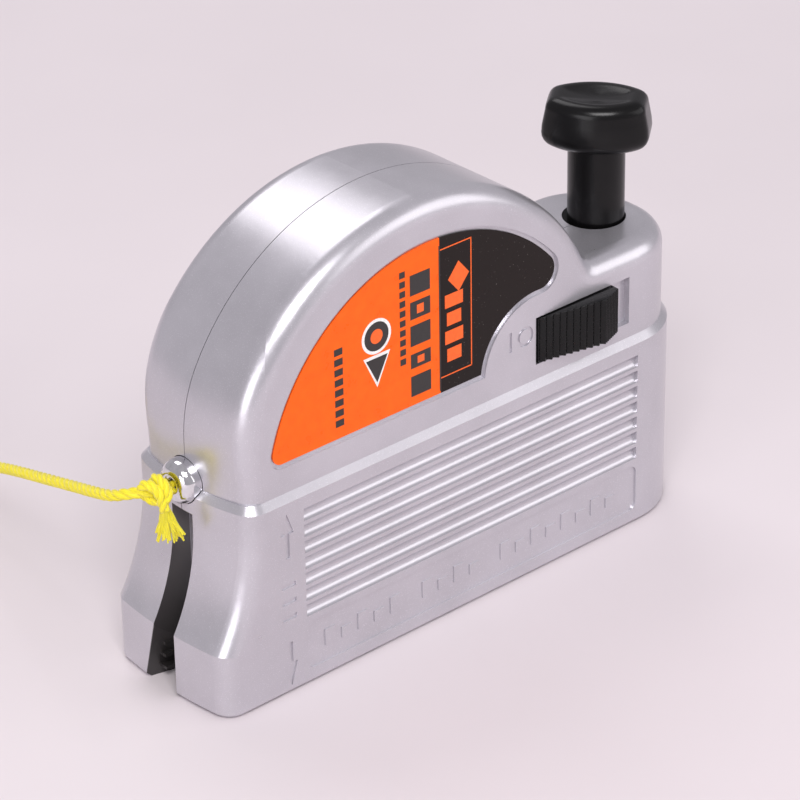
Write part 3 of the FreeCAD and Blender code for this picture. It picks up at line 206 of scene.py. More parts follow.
def round_edges(obj, width, segments=2, angle=40.0):
    only(obj)
    edge = obj.modifiers.new("edges", "BEVEL")
    edge.width = width
    edge.segments = segments
    edge.limit_method = "ANGLE"
    edge.angle_limit = math.radians(angle)
    edge.use_clamp_overlap = True
    bpy.ops.object.modifier_apply(modifier=edge.name)
    return obj


def turned(name, profile, along_x=False, centre=(0, 0, 0), steps=72):
    """A turned piece: its half profile of (radius, height) pairs spun once round."""
    object_mode()
    bpy.ops.mesh.primitive_circle_add(vertices=steps, radius=profile[0][0] * MM,
                                      location=(0, 0, profile[0][1] * MM))
    obj = bpy.context.object
    obj.name = name
    edit_all(obj)
    for (r0, h0), (r1, h1) in zip(profile, profile[1:]):
        bpy.ops.mesh.extrude_region_move(
            TRANSFORM_OT_translate={"value": (0, 0, (h1 - h0) * MM)})
        factor = r1 / r0
        bpy.ops.transform.resize(value=(factor, factor, 1),
                                 center_override=(0, 0, h1 * MM))
    bpy.ops.object.mode_set(mode="OBJECT")
    settle(obj)
    if profile[0] != profile[-1]:
        edit_all(obj)
        bpy.ops.mesh.select_all(action="DESELECT")
        bpy.ops.mesh.select_mode(type="EDGE")
        bpy.ops.mesh.select_non_manifold()
        bpy.ops.mesh.fill_holes(sides=0)
        bpy.ops.object.mode_set(mode="OBJECT")
    if along_x:
        obj.data.transform(Matrix.Rotation(math.radians(90), 4, "Y"))
    obj.data.transform(Matrix.Translation(Vector(centre)))
    outward(obj)
    return soften(obj)


def face_of(name, corners):
    """One flat face through the corners, in order."""
    object_mode()
    bpy.ops.mesh.primitive_circle_add(vertices=len(corners), radius=1.0, fill_type="NGON")
    obj = bpy.context.object
    obj.name = name
    for vertex, corner in zip(obj.data.vertices, corners):
        vertex.co = corner
    return obj


def prism(name, corners, push):
    """A face through the corners, extruded by push, in metres."""
    obj = face_of(name, corners)
    edit_all(obj)
    bpy.ops.mesh.extrude_region_move(TRANSFORM_OT_translate={"value": push})
    bpy.ops.object.mode_set(mode="OBJECT")
    return outward(obj)


def plate(name, outline, y, finish):
    """A printed shape: an outline of (x, z) points at y, as thick as two layers of ink."""
    corners = [(x, y, z) for x, z in outline]
    return give(prism(name, corners, (0, sizes().print_height * 2, 0)), finish)


def join(name, objs):
    only(objs[0])
    for obj in objs:
        obj.select_set(True)
    bpy.ops.object.join()
    objs[0].name = name
    return objs[0]


def spline_curve(name, points, radius=0.0, resolution=12):
    """A smooth NURBS line through given control points."""
    data = bpy.data.curves.new(name, "CURVE")
    data.dimensions = "3D"
    data.resolution_u = resolution
    data.bevel_depth = radius
    data.bevel_resolution = 3
    data.use_fill_caps = True
    spline = data.splines.new("NURBS")
    spline.points.add(len(points) - 1)
    for slot, point in zip(spline.points, points):
        slot.co = (point[0], point[1], point[2], 1.0)
    spline.order_u = 3
    spline.use_endpoint_u = True
    obj = bpy.data.objects.new(name, data)
    bpy.context.scene.collection.objects.link(obj)
    return obj


def line_points(curve):
    """The points of a curve that has no bevel, in order."""
    bpy.context.view_layer.update()
    mesh = bpy.data.meshes.new_from_object(curve)
    points = [v.co.copy() for v in mesh.vertices]
    bpy.data.meshes.remove(mesh)
    return points


def even_points(points, step):
    """The same line with its points a set distance apart."""
    reach = [0.0]
    for a, b in zip(points, points[1:]):
        reach.append(reach[-1] + (b - a).length)
    count = max(2, round(reach[-1] / step))
    found = []
    k = 0
    for i in range(count + 1):
        want = reach[-1] * i / count
        while k < len(reach) - 2 and reach[k + 1] < want:
            k += 1
        span = max(reach[k + 1] - reach[k], 1e-9)
        found.append(points[k].lerp(points[k + 1], (want - reach[k]) / span))
    return found, reach[-1]


def smooth_path(control, step):
    """Evenly spaced points on a smooth line through control points, and its length."""
    guide = spline_curve("guide", control)
    points, length = even_points(line_points(guide), step)
    bpy.data.objects.remove(guide)
    return points, length


def carried_frames(points):
    """Directions across a line that turn with it and don't twist."""
    across = None
    found = []
    for i in range(len(points)):
        a = points[max(i - 1, 0)]
        b = points[min(i + 1, len(points) - 1)]
        ahead = (b - a).normalized()
        if across is None:
            across = ahead.orthogonal().normalized()
        across = (across - ahead * across.dot(ahead)).normalized()
        found.append((across.copy(), ahead.cross(across)))
    return found


def twisted(name, points, diameter, lay, count, sides=8):
    """Strands laid round a line; each is a swept tube and all are joined in one mesh."""
    strand_r = diameter / 2 / (1 + 1 / math.sin(math.pi / count)) * STRAND_SWELL
    reach = diameter / 2 - strand_r
    frames = carried_frames(points)
    vertices, faces, uvs = [], [], []
    travel = 0.0
    lengths = [0.0]
    for a, b in zip(points, points[1:]):
        travel += (b - a).length
        lengths.append(travel)
    for s in range(count):
        first = len(vertices)
        path = []
        for point, (u, v), along in zip(points, frames, lengths):
            turn = 2 * math.pi * (along / lay + s / count)
            path.append(point + (u * math.cos(turn) + v * math.sin(turn)) * reach)
        for i, ((u, v), centre) in enumerate(zip(carried_frames(path), path)):
            for k in range(sides):
                turn = 2 * math.pi * k / sides
                vertices.append(centre + (u * math.cos(turn) + v * math.sin(turn)) * strand_r)
                uvs.append((lengths[i], k / sides))
        rings = len(path)
        for i in range(rings - 1):
            for k in range(sides):
                a = first + i * sides + k
                b = first + i * sides + (k + 1) % sides
                faces.append((a, b, b + sides, a + sides))
        faces.append(tuple(first + k for k in reversed(range(sides))))
        faces.append(tuple(first + (rings - 1) * sides + k for k in range(sides)))
    mesh = bpy.data.meshes.new(name)
    mesh.from_pydata(vertices, [], faces)
    layer = mesh.uv_layers.new(name="UVMap")
    for loop in mesh.loops:
        layer.data[loop.index].uv = (uvs[loop.vertex_index][0] / MM, uvs[loop.vertex_index][1])
    obj = bpy.data.objects.new(name, mesh)
    bpy.context.scene.collection.objects.link(obj)
    outward(obj, merge=0.0)
    only(obj)
    bpy.ops.object.shade_smooth()
    return obj


# ---- materials -----------------------------------------------------------------------
def new_material(name):
    material = bpy.data.materials.new(name)
    material.use_nodes = True
    tree = material.node_tree
    shader = tree.nodes["Principled BSDF"]
    return material, tree, shader


def node(tree, kind):
    return tree.nodes.new(kind)


def object_place(tree):
    return node(tree, "ShaderNodeTexCoord").outputs["Object"]


def noise(tree, place, scale, detail=3.0, roughness=0.55):
    made = node(tree, "ShaderNodeTexNoise")
    made.inputs["Scale"].default_value = scale
    made.inputs["Detail"].default_value = detail
    made.inputs["Roughness"].default_value = roughness
    tree.links.new(place, made.inputs["Vector"])
    return made.outputs["Fac"]


def ramp(tree, value, stops):
    made = node(tree, "ShaderNodeValToRGB")
    while len(made.color_ramp.elements) < len(stops):
        made.color_ramp.elements.new(0.5)
    for element, (place, shade) in zip(made.color_ramp.elements, stops):
        element.position = place
        element.color = (shade[0], shade[1], shade[2], 1.0)
    tree.links.new(value, made.inputs["Fac"])
    return made.outputs["Color"]


def maths(tree, operation, a, b=None, clamp=False):
    made = node(tree, "ShaderNodeMath")
    made.operation = operation
    made.use_clamp = clamp
    for k, value in enumerate((a, b)):
        if value is None:
            continue
        if isinstance(value, (int, float)):
            made.inputs[k].default_value = value
        else:
            tree.links.new(value, made.inputs[k])
    return made.outputs["Value"]


def step_between(tree, value, low, high):
    """0 below low, 1 above high, straight between."""
    made = node(tree, "ShaderNodeMapRange")
    made.inputs["From Min"].default_value = low
    made.inputs["From Max"].default_value = high
    tree.links.new(value, made.inputs["Value"])
    return made.outputs["Result"]


def mixed(tree, factor, a, b):
    made = node(tree, "ShaderNodeMix")
    made.data_type = "RGBA"
    sockets = [s for s in made.inputs if s.type == "RGBA"]
    for socket, value in zip(sockets, (a, b)):
        if isinstance(value, tuple):
            socket.default_value = (value[0], value[1], value[2], 1.0)
        else:
            tree.links.new(value, socket)
    if isinstance(factor, (int, float)):
        made.inputs[0].default_value = factor
    else:
        tree.links.new(factor, made.inputs[0])
    return [s for s in made.outputs if s.type == "RGBA"][0]


def bump(tree, shader, height, strength, distance):
    made = node(tree, "ShaderNodeBump")
    made.inputs["Strength"].default_value = strength
    made.inputs["Distance"].default_value = distance
    tree.links.new(height, made.inputs["Height"])
    tree.links.new(made.outputs["Normal"], shader.inputs["Normal"])


def coordinates(tree, place):
    split = node(tree, "ShaderNodeSeparateXYZ")
    tree.links.new(place, split.inputs["Vector"])
    return split.outputs["X"], split.outputs["Y"], split.outputs["Z"]


def silver_paint():
    """Satin silver paint: fine flake, faint mottling, soft orange peel, and a bare dark slot
    with painted shade that deepens towards its bottom.
    """
    material, tree, shader = new_material("silver_case_paint")
    place = object_place(tree)
    paint = tuple(colours().paint)
    light = tuple(min(1.0, c * 1.05) for c in paint)
    dull = tuple(c * 0.93 for c in paint)
    mottle = ramp(tree, noise(tree, place, 60, 4), [(0.3, dull), (0.7, light)])
    flake = noise(tree, place, 5200, 1.5)
    sparkle = mixed(tree, step_between(tree, flake, 0.60, 0.72), mottle,
                    tuple(min(1.0, c * 1.22) for c in paint))
    x, y, z = coordinates(tree, place)
    flare = maths(tree, "MULTIPLY", step_between(tree, z, FLARE_TOP, 0.0),
                  step_between(tree, x, FLARE_BACK, FLARE_FRONT))
    edge = maths(tree, "ADD", maths(tree, "MULTIPLY", flare, FLARE_GROWTH), SLOT_HALF)
    in_slot = maths(tree, "MULTIPLY", maths(tree, "LESS_THAN", y, edge),
                    maths(tree, "GREATER_THAN", y, -SLOT_HALF))
    ahead = maths(tree, "MAXIMUM", maths(tree, "LESS_THAN", x, SLOT_UPPER_BACK),
                  maths(tree, "MULTIPLY", maths(tree, "LESS_THAN", x, SLOT_TOE_BACK),
                        maths(tree, "LESS_THAN", z, SLOT_TOE_TOP)))
    low = maths(tree, "LESS_THAN", z, SLOT_TOP)
    # Painted shade: the slot's inside goes darker towards its bottom, where the deep narrow slot
    # gets little light.
    dark_wall_and_shade = ramp(tree, step_between(tree, z, 0.006, 0.034),
                [(0.0, (0.02, 0.018, 0.018)), (0.5, (0.07, 0.064, 0.066)),
                 (1.0, (0.17, 0.158, 0.162))])
    # Inside the slot the plastic is bare, not metallic, and coloured with the painted shade
    # above.
    bare_shaded_slot = maths(tree, "MULTIPLY", maths(tree, "MULTIPLY", in_slot, ahead), low)
    tree.links.new(mixed(tree, bare_shaded_slot, sparkle, dark_wall_and_shade), shader.inputs["Base Color"])
    tree.links.new(maths(tree, "MULTIPLY", maths(tree, "SUBTRACT", 1.0, bare_shaded_slot), 0.72),
                   shader.inputs["Metallic"])
    smear = step_between(tree, noise(tree, place, 240, 4), 0.2, 0.8)
    tree.links.new(maths(tree, "ADD", maths(tree, "MULTIPLY", smear, 0.06), 0.27),
                   shader.inputs["Roughness"])
    shader.inputs["Coat Weight"].default_value = 0.25
    shader.inputs["Coat Roughness"].default_value = 0.22
    peel = maths(tree, "ADD", maths(tree, "MULTIPLY", noise(tree, place, 900, 2), 0.7),
                 maths(tree, "MULTIPLY", flake, 0.3))
    bump(tree, shader, peel, 0.25, 0.00006)
    return material


def printed_label():
    """Glossy film in two printed fields, with faint dust and fine scratches."""
    material, tree, shader = new_material("printed_label_film")
    place = object_place(tree)
    x, _, _ = coordinates(tree, place)
    grain = noise(tree, place, 420, 3)
    orange = tuple(colours().orange)
    deep = tuple(c * 0.88 for c in orange)
    field = ramp(tree, grain, [(0.35, deep), (0.65, orange)])
    dark = tuple(colours().dark)
    dust = step_between(tree, noise(tree, place, 2600, 2), 0.70, 0.74)
    worn = mixed(tree, maths(tree, "MULTIPLY", dust, 0.35), dark, (0.25, 0.22, 0.21))
    side = step_between(tree, x, LABEL_SPLIT - 0.00005, LABEL_SPLIT + 0.00005)
    tree.links.new(mixed(tree, side, field, worn), shader.inputs["Base Color"])
    tree.links.new(maths(tree, "ADD", maths(tree, "MULTIPLY", grain, 0.10), 0.24),
                   shader.inputs["Roughness"])
    shader.inputs["Specular IOR Level"].default_value = 0.14
    shader.inputs["Coat Weight"].default_value = 0.08
    shader.inputs["Coat Roughness"].default_value = 0.12
    bump(tree, shader, noise(tree, place, 700, 3), 0.10, 0.00004)
    return material


def plain_ink(name, shade, rough=0.4):
    material, tree, shader = new_material(name)
    place = object_place(tree)
    low = tuple(c * 0.85 for c in shade)
    tree.links.new(ramp(tree, noise(tree, place, 1500, 2), [(0.35, low), (0.65, shade)]),
                   shader.inputs["Base Color"])
    shader.inputs["Roughness"].default_value = rough
    return material


def metal(name, shade, rough, brushed=0.0, scale=400.0, axis=2):
    """Bare or plated metal; brushing runs round or along one axis."""
    material, tree, shader = new_material(name)
    place = object_place(tree)
    stretch = node(tree, "ShaderNodeMapping")
    factors = [1.0, 1.0, 1.0]
    factors[axis] = 0.06 if brushed else 1.0
    stretch.inputs["Scale"].default_value = factors
    tree.links.new(place, stretch.inputs["Vector"])
    streaks = noise(tree, stretch.outputs["Vector"], scale, 5)
    dim = tuple(c * 0.86 for c in shade)
    tree.links.new(ramp(tree, streaks, [(0.3, dim), (0.7, shade)]), shader.inputs["Base Color"])
    shader.inputs["Metallic"].default_value = 1.0
    tree.links.new(maths(tree, "ADD", maths(tree, "MULTIPLY", streaks, 0.12), rough),
                   shader.inputs["Roughness"])
    bump(tree, shader, streaks, 0.10 + brushed, 0.00003)
    return material


def moulded_plastic(name, shade, rough, depth=0.15):
    material, tree, shader = new_material(name)
    place = object_place(tree)
    texture = noise(tree, place, 1600, 3)
    light = tuple(min(1.0, c * 1.35 + 0.001) for c in shade)
    tree.links.new(ramp(tree, noise(tree, place, 130, 3), [(0.3, shade), (0.75, light)]),
                   shader.inputs["Base Color"])
    tree.links.new(maths(tree, "ADD", maths(tree, "MULTIPLY", texture, 0.12), rough - 0.06),
                   shader.inputs["Roughness"])
    shader.inputs["Specular IOR Level"].default_value = 0.24
    bump(tree, shader, texture, depth, 0.00004)
    return material


def yarn():
    """Bright fibres that run along each strand."""
    material, tree, shader = new_material("yellow_braided_yarn")
    uv = node(tree, "ShaderNodeTexCoord").outputs["UV"]
    stretch = node(tree, "ShaderNodeMapping")
    stretch.inputs["Scale"].default_value = (0.55, 13.0, 1.0)
    tree.links.new(uv, stretch.inputs["Vector"])
    fibres = noise(tree, stretch.outputs["Vector"], 1.6, 4)
    shade = tuple(colours().yarn)
    low = tuple(c * 0.72 for c in shade)
    tree.links.new(ramp(tree, fibres, [(0.3, low), (0.62, shade)]), shader.inputs["Base Color"])
    shader.inputs["Roughness"].default_value = 0.55
    shader.inputs["Sheen Weight"].default_value = 0.35
    shader.inputs["Sheen Roughness"].default_value = 0.4
    shader.inputs["Subsurface Weight"].default_value = 0.25
    shader.inputs["Subsurface Radius"].default_value = (0.001, 0.0008, 0.0002)
    shader.inputs["Subsurface Scale"].default_value = 0.4
    bump(tree, shader, fibres, 0.6, 0.0002)
    return material


def floor_paper():
    material, tree, shader = new_material("pale_floor_paper")
    place = object_place(tree)
    shade = tuple(colours().floor)
    low = tuple(c * 0.97 for c in shade)
    tree.links.new(ramp(tree, noise(tree, place, 9, 3), [(0.35, low), (0.65, shade)]),
                   shader.inputs["Base Color"])
    shader.inputs["Roughness"].default_value = 0.6
    bump(tree, shader, noise(tree, place, 300, 2), 0.05, 0.0002)
    return material


MATERIALS = {}


def finish_of(name):
    """Each finish is made once, when a piece first asks for it."""
    recipes = {
        "paint": silver_paint,
        "label": printed_label,
        "white_ink": lambda: plain_ink("white_label_ink", (0.85, 0.85, 0.83)),
        "black_ink": lambda: plain_ink("black_label_ink", (0.02, 0.017, 0.016)),
        "orange_ink": lambda: plain_ink("orange_label_ink", tuple(colours().orange)),
        "chrome": lambda: metal("bright_chrome", (0.82, 0.82, 0.84), 0.04, scale=900),
        "steel": lambda: metal("plated_steel", (0.55, 0.55, 0.57), 0.24, 0.1),
        "turned_steel": lambda: metal("turned_steel", (0.60, 0.60, 0.62), 0.16, 0.15, axis=1),
        "brass": lambda: metal("turned_brass", (0.78, 0.56, 0.24), 0.18, 0.1),
        "magnet": lambda: metal("nickel_magnet", (0.42, 0.41, 0.40), 0.30, 0.0, scale=700),
        "gloss_black": lambda: moulded_plastic("gloss_black_moulding", (0.003, 0.0028, 0.003),
                                               0.24, depth=0.06),
        "ribbed_black": lambda: moulded_plastic("ribbed_black_moulding", (0.004, 0.004, 0.0042),
                                                0.26),
        "inner": lambda: moulded_plastic("dark_inner_moulding", (0.05, 0.05, 0.052), 0.5),
        "rubber": lambda: moulded_plastic("brake_rubber", (0.03, 0.03, 0.03), 0.75, depth=0.4),
        "yarn": yarn,
        "floor": floor_paper,
    }
    if name not in MATERIALS:
        MATERIALS[name] = recipes[name]()
    return MATERIALS[name]


def give(obj, finish):
    obj.data.materials.clear()
    obj.data.materials.append(finish_of(finish))
    return obj


def give_node(name, finish):
    """A frame node keeps its shape and takes a finish on its object's own slots."""
    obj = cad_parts[name]
    for slot in obj.material_slots:
        slot.link = "OBJECT"
        slot.material = finish_of(finish)
    return obj


# ---- pieces --------------------------------------------------------------------------
def make_stage():
    """Pale sweep, soft lights and the camera."""
    object_mode()
    bpy.ops.mesh.primitive_plane_add(size=4.0, location=(0, 0, 0))
    floor = bpy.context.object
    floor.name = "studio_floor"
    edit_all(floor)
    bpy.ops.mesh.subdivide(number_cuts=3)
    bpy.ops.object.mode_set(mode="OBJECT")
    give(settle(floor), "floor")

    world = bpy.data.worlds.new("soft_room")
    world.use_nodes = True
    backdrop = world.node_tree.nodes["Background"]
    backdrop.inputs["Color"].default_value = (0.80, 0.765, 0.82, 1.0)
    backdrop.inputs["Strength"].default_value = 0.55
    bpy.context.scene.world = world

    lights = [
        ("key_softbox", (-0.80, -0.98, 1.50), (0, 0, 0.04), 0.95, 0.66, 26.0,
         (1.0, 0.985, 0.985)),
        ("right_softbox", (1.0, -1.24, 0.68), (0, 0, 0.04), 1.60, 1.00, 8.0, (1.0, 0.98, 0.98)),
        ("left_fill", (-1.25, -0.45, 0.34), (0, 0, 0.03), 0.70, 0.60, 4.5, (0.99, 0.98, 1.0)),
        ("back_softbox", (0.35, 1.15, 1.70), (0, 0.2, 0.0), 1.00, 1.00, 9.0, (1.0, 0.98, 0.99)),
    ]
    for name, place, aim, width, height, power, shade in lights:
        data = bpy.data.lights.new(name, "AREA")
        data.shape = "RECTANGLE"
        data.size = width
        data.size_y = height
        data.energy = power
        data.color = shade
        lamp = bpy.data.objects.new(name, data)
        bpy.context.scene.collection.objects.link(lamp)
        lamp.location = place
        lamp.rotation_euler = (Vector(aim) - Vector(place)).to_track_quat("-Z", "Y").to_euler()

    data = bpy.data.cameras.new("view_camera")
    data.sensor_width = 36.0
    data.lens = CAMERA_LENS
    data.clip_start = 0.05
    data.clip_end = 20.0
    camera = bpy.data.objects.new("view_camera", data)
    bpy.context.scene.collection.objects.link(camera)
    look = (CAMERA_AIM - CAMERA_PLACE).to_track_quat("-Z", "Y").to_matrix().to_4x4()
    camera.matrix_world = (Matrix.Translation(CAMERA_PLACE) @ look
                           @ Matrix.Rotation(CAMERA_ROLL, 4, "Z"))
    bpy.context.scene.camera = camera
    bpy.context.scene.view_settings.view_transform = "Standard"


def make_free_line():
    """The twisted line from the knot, sinking to the surface, where its bob lies."""
    s = sizes()
    points, length = smooth_path(ROUTE, LINE_STEP)
    line = twisted("twisted_free_line", points, s.cord_diameter, s.strand_lay, s.strand_count)
    give(line, "yarn")
    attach(line, "line_end")
    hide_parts("plumb_line")
    knot = make_knot(points)
    cap, bob = make_bob()


KNOT_WRAPS = [
    (0.6, 0.0, -0.6), (-1.0, 0.3, -0.9), (-1.9, 1.9, 0.0), (-2.3, 1.7, 1.9), (-2.5, -0.5, 2.5),
    (-2.4, -2.3, 1.1), (-2.3, -2.0, -1.1), (-3.3, 0.3, -1.9), (-4.5, 2.0, -0.8),
    (-4.9, 1.9, 1.3), (-4.4, 0.0, 2.1), (-3.8, -1.7, 0.9), (-3.3, -1.7, -1.2),
    (-2.8, -1.7, -3.0),
]


def make_knot(line):
    """Wraps of the same line drawn tight against the nose, with a cut and frayed tail."""
    s = sizes()
    centre = Vector((EXIT_X, 0, LINE_Z - 0.0002))
    wraps = [centre + Vector(p) * MM for p in KNOT_WRAPS]
    points, _ = smooth_path(wraps, KNOT_STEP)
    knot = twisted("knot_wraps", points, s.cord_diameter * 0.92, s.strand_lay * 0.8,
                   s.strand_count)
    lead = [centre + Vector((-2.2, -0.4, 0.2)) * MM, centre + Vector((-3.0, 0.1, 0.2)) * MM,
            line[0], line[4]]
    points, _ = smooth_path(lead, KNOT_STEP)
    lead = twisted("knot_lead", points, s.cord_diameter, s.strand_lay, s.strand_count)
    tail = make_fray(centre + Vector((-2.8, -1.7, -2.4)) * MM)
    knot = join("line_end_knot", [knot, lead, tail])
    give(knot, "yarn")
    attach(knot, "line_end")
    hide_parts("line_knot")
    return knot


def make_fray(root):
    """Fibres of the cut tail, spreading from where the twist lets go."""
    chance = random.Random(11)
    fibres = []
    for _ in range(sizes().fray_fibres):
        turn = 2 * math.pi * chance.random()
        spread = math.sqrt(chance.random())
        start = root + Vector((math.cos(turn), math.sin(turn), 0)) * spread * 0.0007
        reach = chance.uniform(0.0044, 0.0068)
        side = Vector((0.45, -0.9, 0)) * (math.cos(turn) * spread * 0.0024)
        depth = Vector((-0.9, -0.4, 0)) * (math.sin(turn) * spread * 0.0013)
        points = [start]
        for k in (1, 2, 3):
            along = k / 3
            wave = Vector((chance.uniform(-1, 1), chance.uniform(-1, 1), 0)) * 0.00022
            sink = Vector((0.0002, -0.0007, -reach)) * along
            points.append(start + sink + (side + depth) * along ** 1.3 + wave)
        fibre = spline_curve("fibre", points, radius=chance.uniform(0.00013, 0.00021),
                             resolution=4)
        fibre.data.bevel_resolution = 1
        fibres.append(fibre)
    only(fibres[0])
    for fibre in fibres:
        fibre.select_set(True)
    bpy.ops.object.convert(target="MESH")
    tail = join("frayed_tail", fibres)
    if not tail.data.uv_layers:
        tail.data.uv_layers.new(name="UVMap")
    only(tail)
    bpy.ops.object.shade_smooth()
    return tail


def lay_flat(obj):
    """Turns a piece drawn up along Z so that it lies at the end of the line."""
    a, b = Vector(ROUTE[-2]), Vector(ROUTE[-1])
    heading = math.atan2(b.y - a.y, b.x - a.x)
    place = Matrix.Translation((b.x, b.y, b.z))
    obj.data.transform(place @ Matrix.Rotation(heading, 4, "Z")
                       @ Matrix.Rotation(math.radians(90), 4, "Y"))
    return outward(obj)


def make_bob():
    """Steel bob with a turned point and grooves, and its brass screw cap."""
    cap = turned("bob_screw_cap", [
        (0.9, 0.0), (2.2, 0.0), (2.6, 0.25), (4.1, 2.5), (4.55, 2.9), (4.6, 3.3), (4.6, 4.0),
        (4.25, 4.2), (4.25, 4.6), (4.6, 4.8), (4.6, 5.5), (4.25, 5.7), (4.25, 6.1), (4.6, 6.3),
        (4.6, 6.7), (4.4, 7.0), (0.9, 7.0)])
    bob = turned("steel_plumb_bob", [
        (0.8, 7.0), (3.4, 7.0), (3.4, 8.0), (3.8, 8.1), (6.6, 11.3), (6.95, 12.0), (7.0, 12.5),
        (7.0, 16.0), (6.7, 16.3), (6.7, 17.0), (7.0, 17.3), (7.0, 18.6), (6.7, 18.9),
        (6.7, 19.6), (7.0, 19.9), (7.0, 37.2), (6.9, 37.9), (6.6, 38.8), (1.0, 52.6),
        (0.45, 53.7), (0.2, 53.9)])
    for obj, node_name, slot, finish in ((cap, "bob_cap", "brass", "brass"),
                                         (bob, "plumb_bob", "steel", "turned_steel")):
        lay_flat(obj)
        soften(obj, 30)
        give(obj, finish)
        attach(obj, "line_end")
        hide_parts(node_name)
    return cap, bob


def make_case():
    """Both shells keep the frame's shape under satin paint."""
    for name in ("label_side_shell", "back_side_shell"):
        give_node(name, "paint")
    give_node("case_screws", "steel")


def bar(x, z, width, height, finish, y):
    left, right = x - width / 2, x + width / 2
    low, high = z - height / 2, z + height / 2
    corners = [(left, low), (right, low), (right, high), (left, high)]
    return plate("printed_bar", corners, y, finish)


def ring_outline(x, z, radius, count=32):
    return [(x + radius * math.cos(2 * math.pi * k / count),
             z + radius * math.sin(2 * math.pi * k / count)) for k in range(count)]


def make_label():
    """The printed film, with plain bars and a plumb sign in place of any wording."""
    give_node("side_label", "label")
    y = LABEL_BOX[0][1] - sizes().print_height
    lift = 0.00002      # a print that lies over another stands this much prouder
    prints = []

    # The three columns of bars on the bright field.
    for k, height in enumerate((0.0040, 0.0034, 0.0040, 0.0028, 0.0040)):
        z = 0.0701 - 0.0050 * k
        prints.append(bar(-0.01035, z, 0.0047, height, "black_ink", y))
        if k % 2:
            prints.append(bar(-0.01035, z, 0.0016, height * 0.5, "orange_ink", y - lift))
    for k in range(10):
        prints.append(bar(-0.0145, 0.0729 - 0.0019 * k, 0.0013, 0.0012, "black_ink", y))
    for k in range(8):
        prints.append(bar(-0.02945, 0.0633 - 0.0020 * k, 0.0019, 0.0013, "black_ink", y))

    # The plumb sign: a ringed disc over a point.
    for layer, (radius, finish) in enumerate(((0.0034, "white_ink"), (0.0028, "black_ink"),
                                              (0.0014, "orange_ink"))):
        prints.append(plate("plumb_sign", ring_outline(SIGN_X, 0.0632, radius),
                            y - lift * layer, finish))
    for layer, (grow, finish) in enumerate(((0.0006, "white_ink"), (0.0, "black_ink"))):
        half = 0.0025 + grow
        points = [(SIGN_X - half, 0.0590 + grow), (SIGN_X, 0.0541 - 1.6 * grow),
                  (SIGN_X + half, 0.0590 + grow)]
        prints.append(plate("plumb_sign", points, y - lift * layer, finish))

    # The dark field: a diamond, four bars and the frame round them.
    diamond = [(-0.0037, 0.0682), (-0.0012, 0.0712), (0.0013, 0.0682), (-0.0012, 0.0652)]
    prints.append(plate("dark_field_sign", diamond, y, "orange_ink"))
    for k in range(4):
        prints.append(bar(-0.00235, 0.0640 - 0.0036 * k, 0.0043 - 0.0009 * (k % 2), 0.0026,
                          "orange_ink", y))
    for x, z, width, height in ((0.0018, 0.0620, 0.00022, 0.0254),
                                (-0.00185, 0.0747, 0.0075, 0.00022),
                                (-0.00185, 0.0493, 0.0075, 0.00022)):
        prints.append(bar(x, z, width, height, "orange_ink", y))
    prints.append(bar(LABEL_SPLIT - 0.00004, 0.0612, 0.0003, 0.0288, "black_ink", y))
    label_print = join("label_print", prints)
    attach(label_print, "case")


def make_nose():
    """Chrome ferrule with a rounded face and a flared bore."""
    ferrule = turned("chrome_ferrule", [
        (0.9, 8.0), (0.9, 1.5), (0.98, 0.8), (1.2, 0.32), (1.6, 0.06), (2.1, 0.0), (2.7, 0.09),
        (3.24, 0.38), (3.7, 0.86), (4.0, 1.45), (4.17, 2.1), (4.2, 2.8), (4.2, 8.0),
        (0.9, 8.0)], along_x=True, centre=(EXIT_X, 0, LINE_Z))
    give(ferrule, "chrome")
    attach(ferrule, "case")
    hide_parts("line_ferrule")


def make_lock():
    """Thumb piece: soft ribs up a long slope to a crest, finer ribs down the short one."""
    x0, x1 = SLIDER_BOX[0][0], SLIDER_BOX[1][0]
    z0, z1 = SLIDER_BOX[0][2], SLIDER_BOX[1][2]
    front = SLIDER_BOX[0][1]
    face = front + 0.0035
    back = face + 0.00105
    crest = x0 + 0.0142

    def slope(a, b, count, depth):
        points = []
        for i in range(count * 6):
            along = i / (count * 6)
            wave = depth * (0.5 - 0.5 * math.cos(2 * math.pi * along * count)) ** 0.8
            points.append((a[0] + (b[0] - a[0]) * along, a[1] + (b[1] - a[1]) * along + wave))
        return points

    outline = [(x0, back)] + slope((x0, face - 0.0004), (crest, front), 10, 0.00052)
    outline += slope((crest, front), (x1, face - 0.0016), 8, 0.00022) + [(x1, back)]
    slider = prism("ribbed_lock_slider", [(x, y, z0) for x, y in outline], (0, 0, z1 - z0))
    round_edges(slider, 0.00022, 3, 55)
    soften(slider, 35)
    give(slider, "ribbed_black")
    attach(slider, "lock")
    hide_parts("lock_slider")


def head_outline(inset):
    """Two wide arcs cut by two flats, drawn in by a set amount."""
    arc, reach, flat = HEAD_ARC - inset, HEAD_REACH, HEAD_FLAT - inset
    points = []
    for k in range(HEAD_STEPS):
        turn = 2 * math.pi * (k + 0.5) / HEAD_STEPS
        c, s = math.cos(turn), abs(math.sin(turn))
        radius = -reach * s + math.sqrt((reach * s) ** 2 + arc * arc - reach * reach)
        if abs(c) > 1e-6:
            radius = (radius ** -36 + (flat / abs(c)) ** -36) ** (-1 / 36)
        points.append((radius * c, radius * math.sin(turn)))
    return points


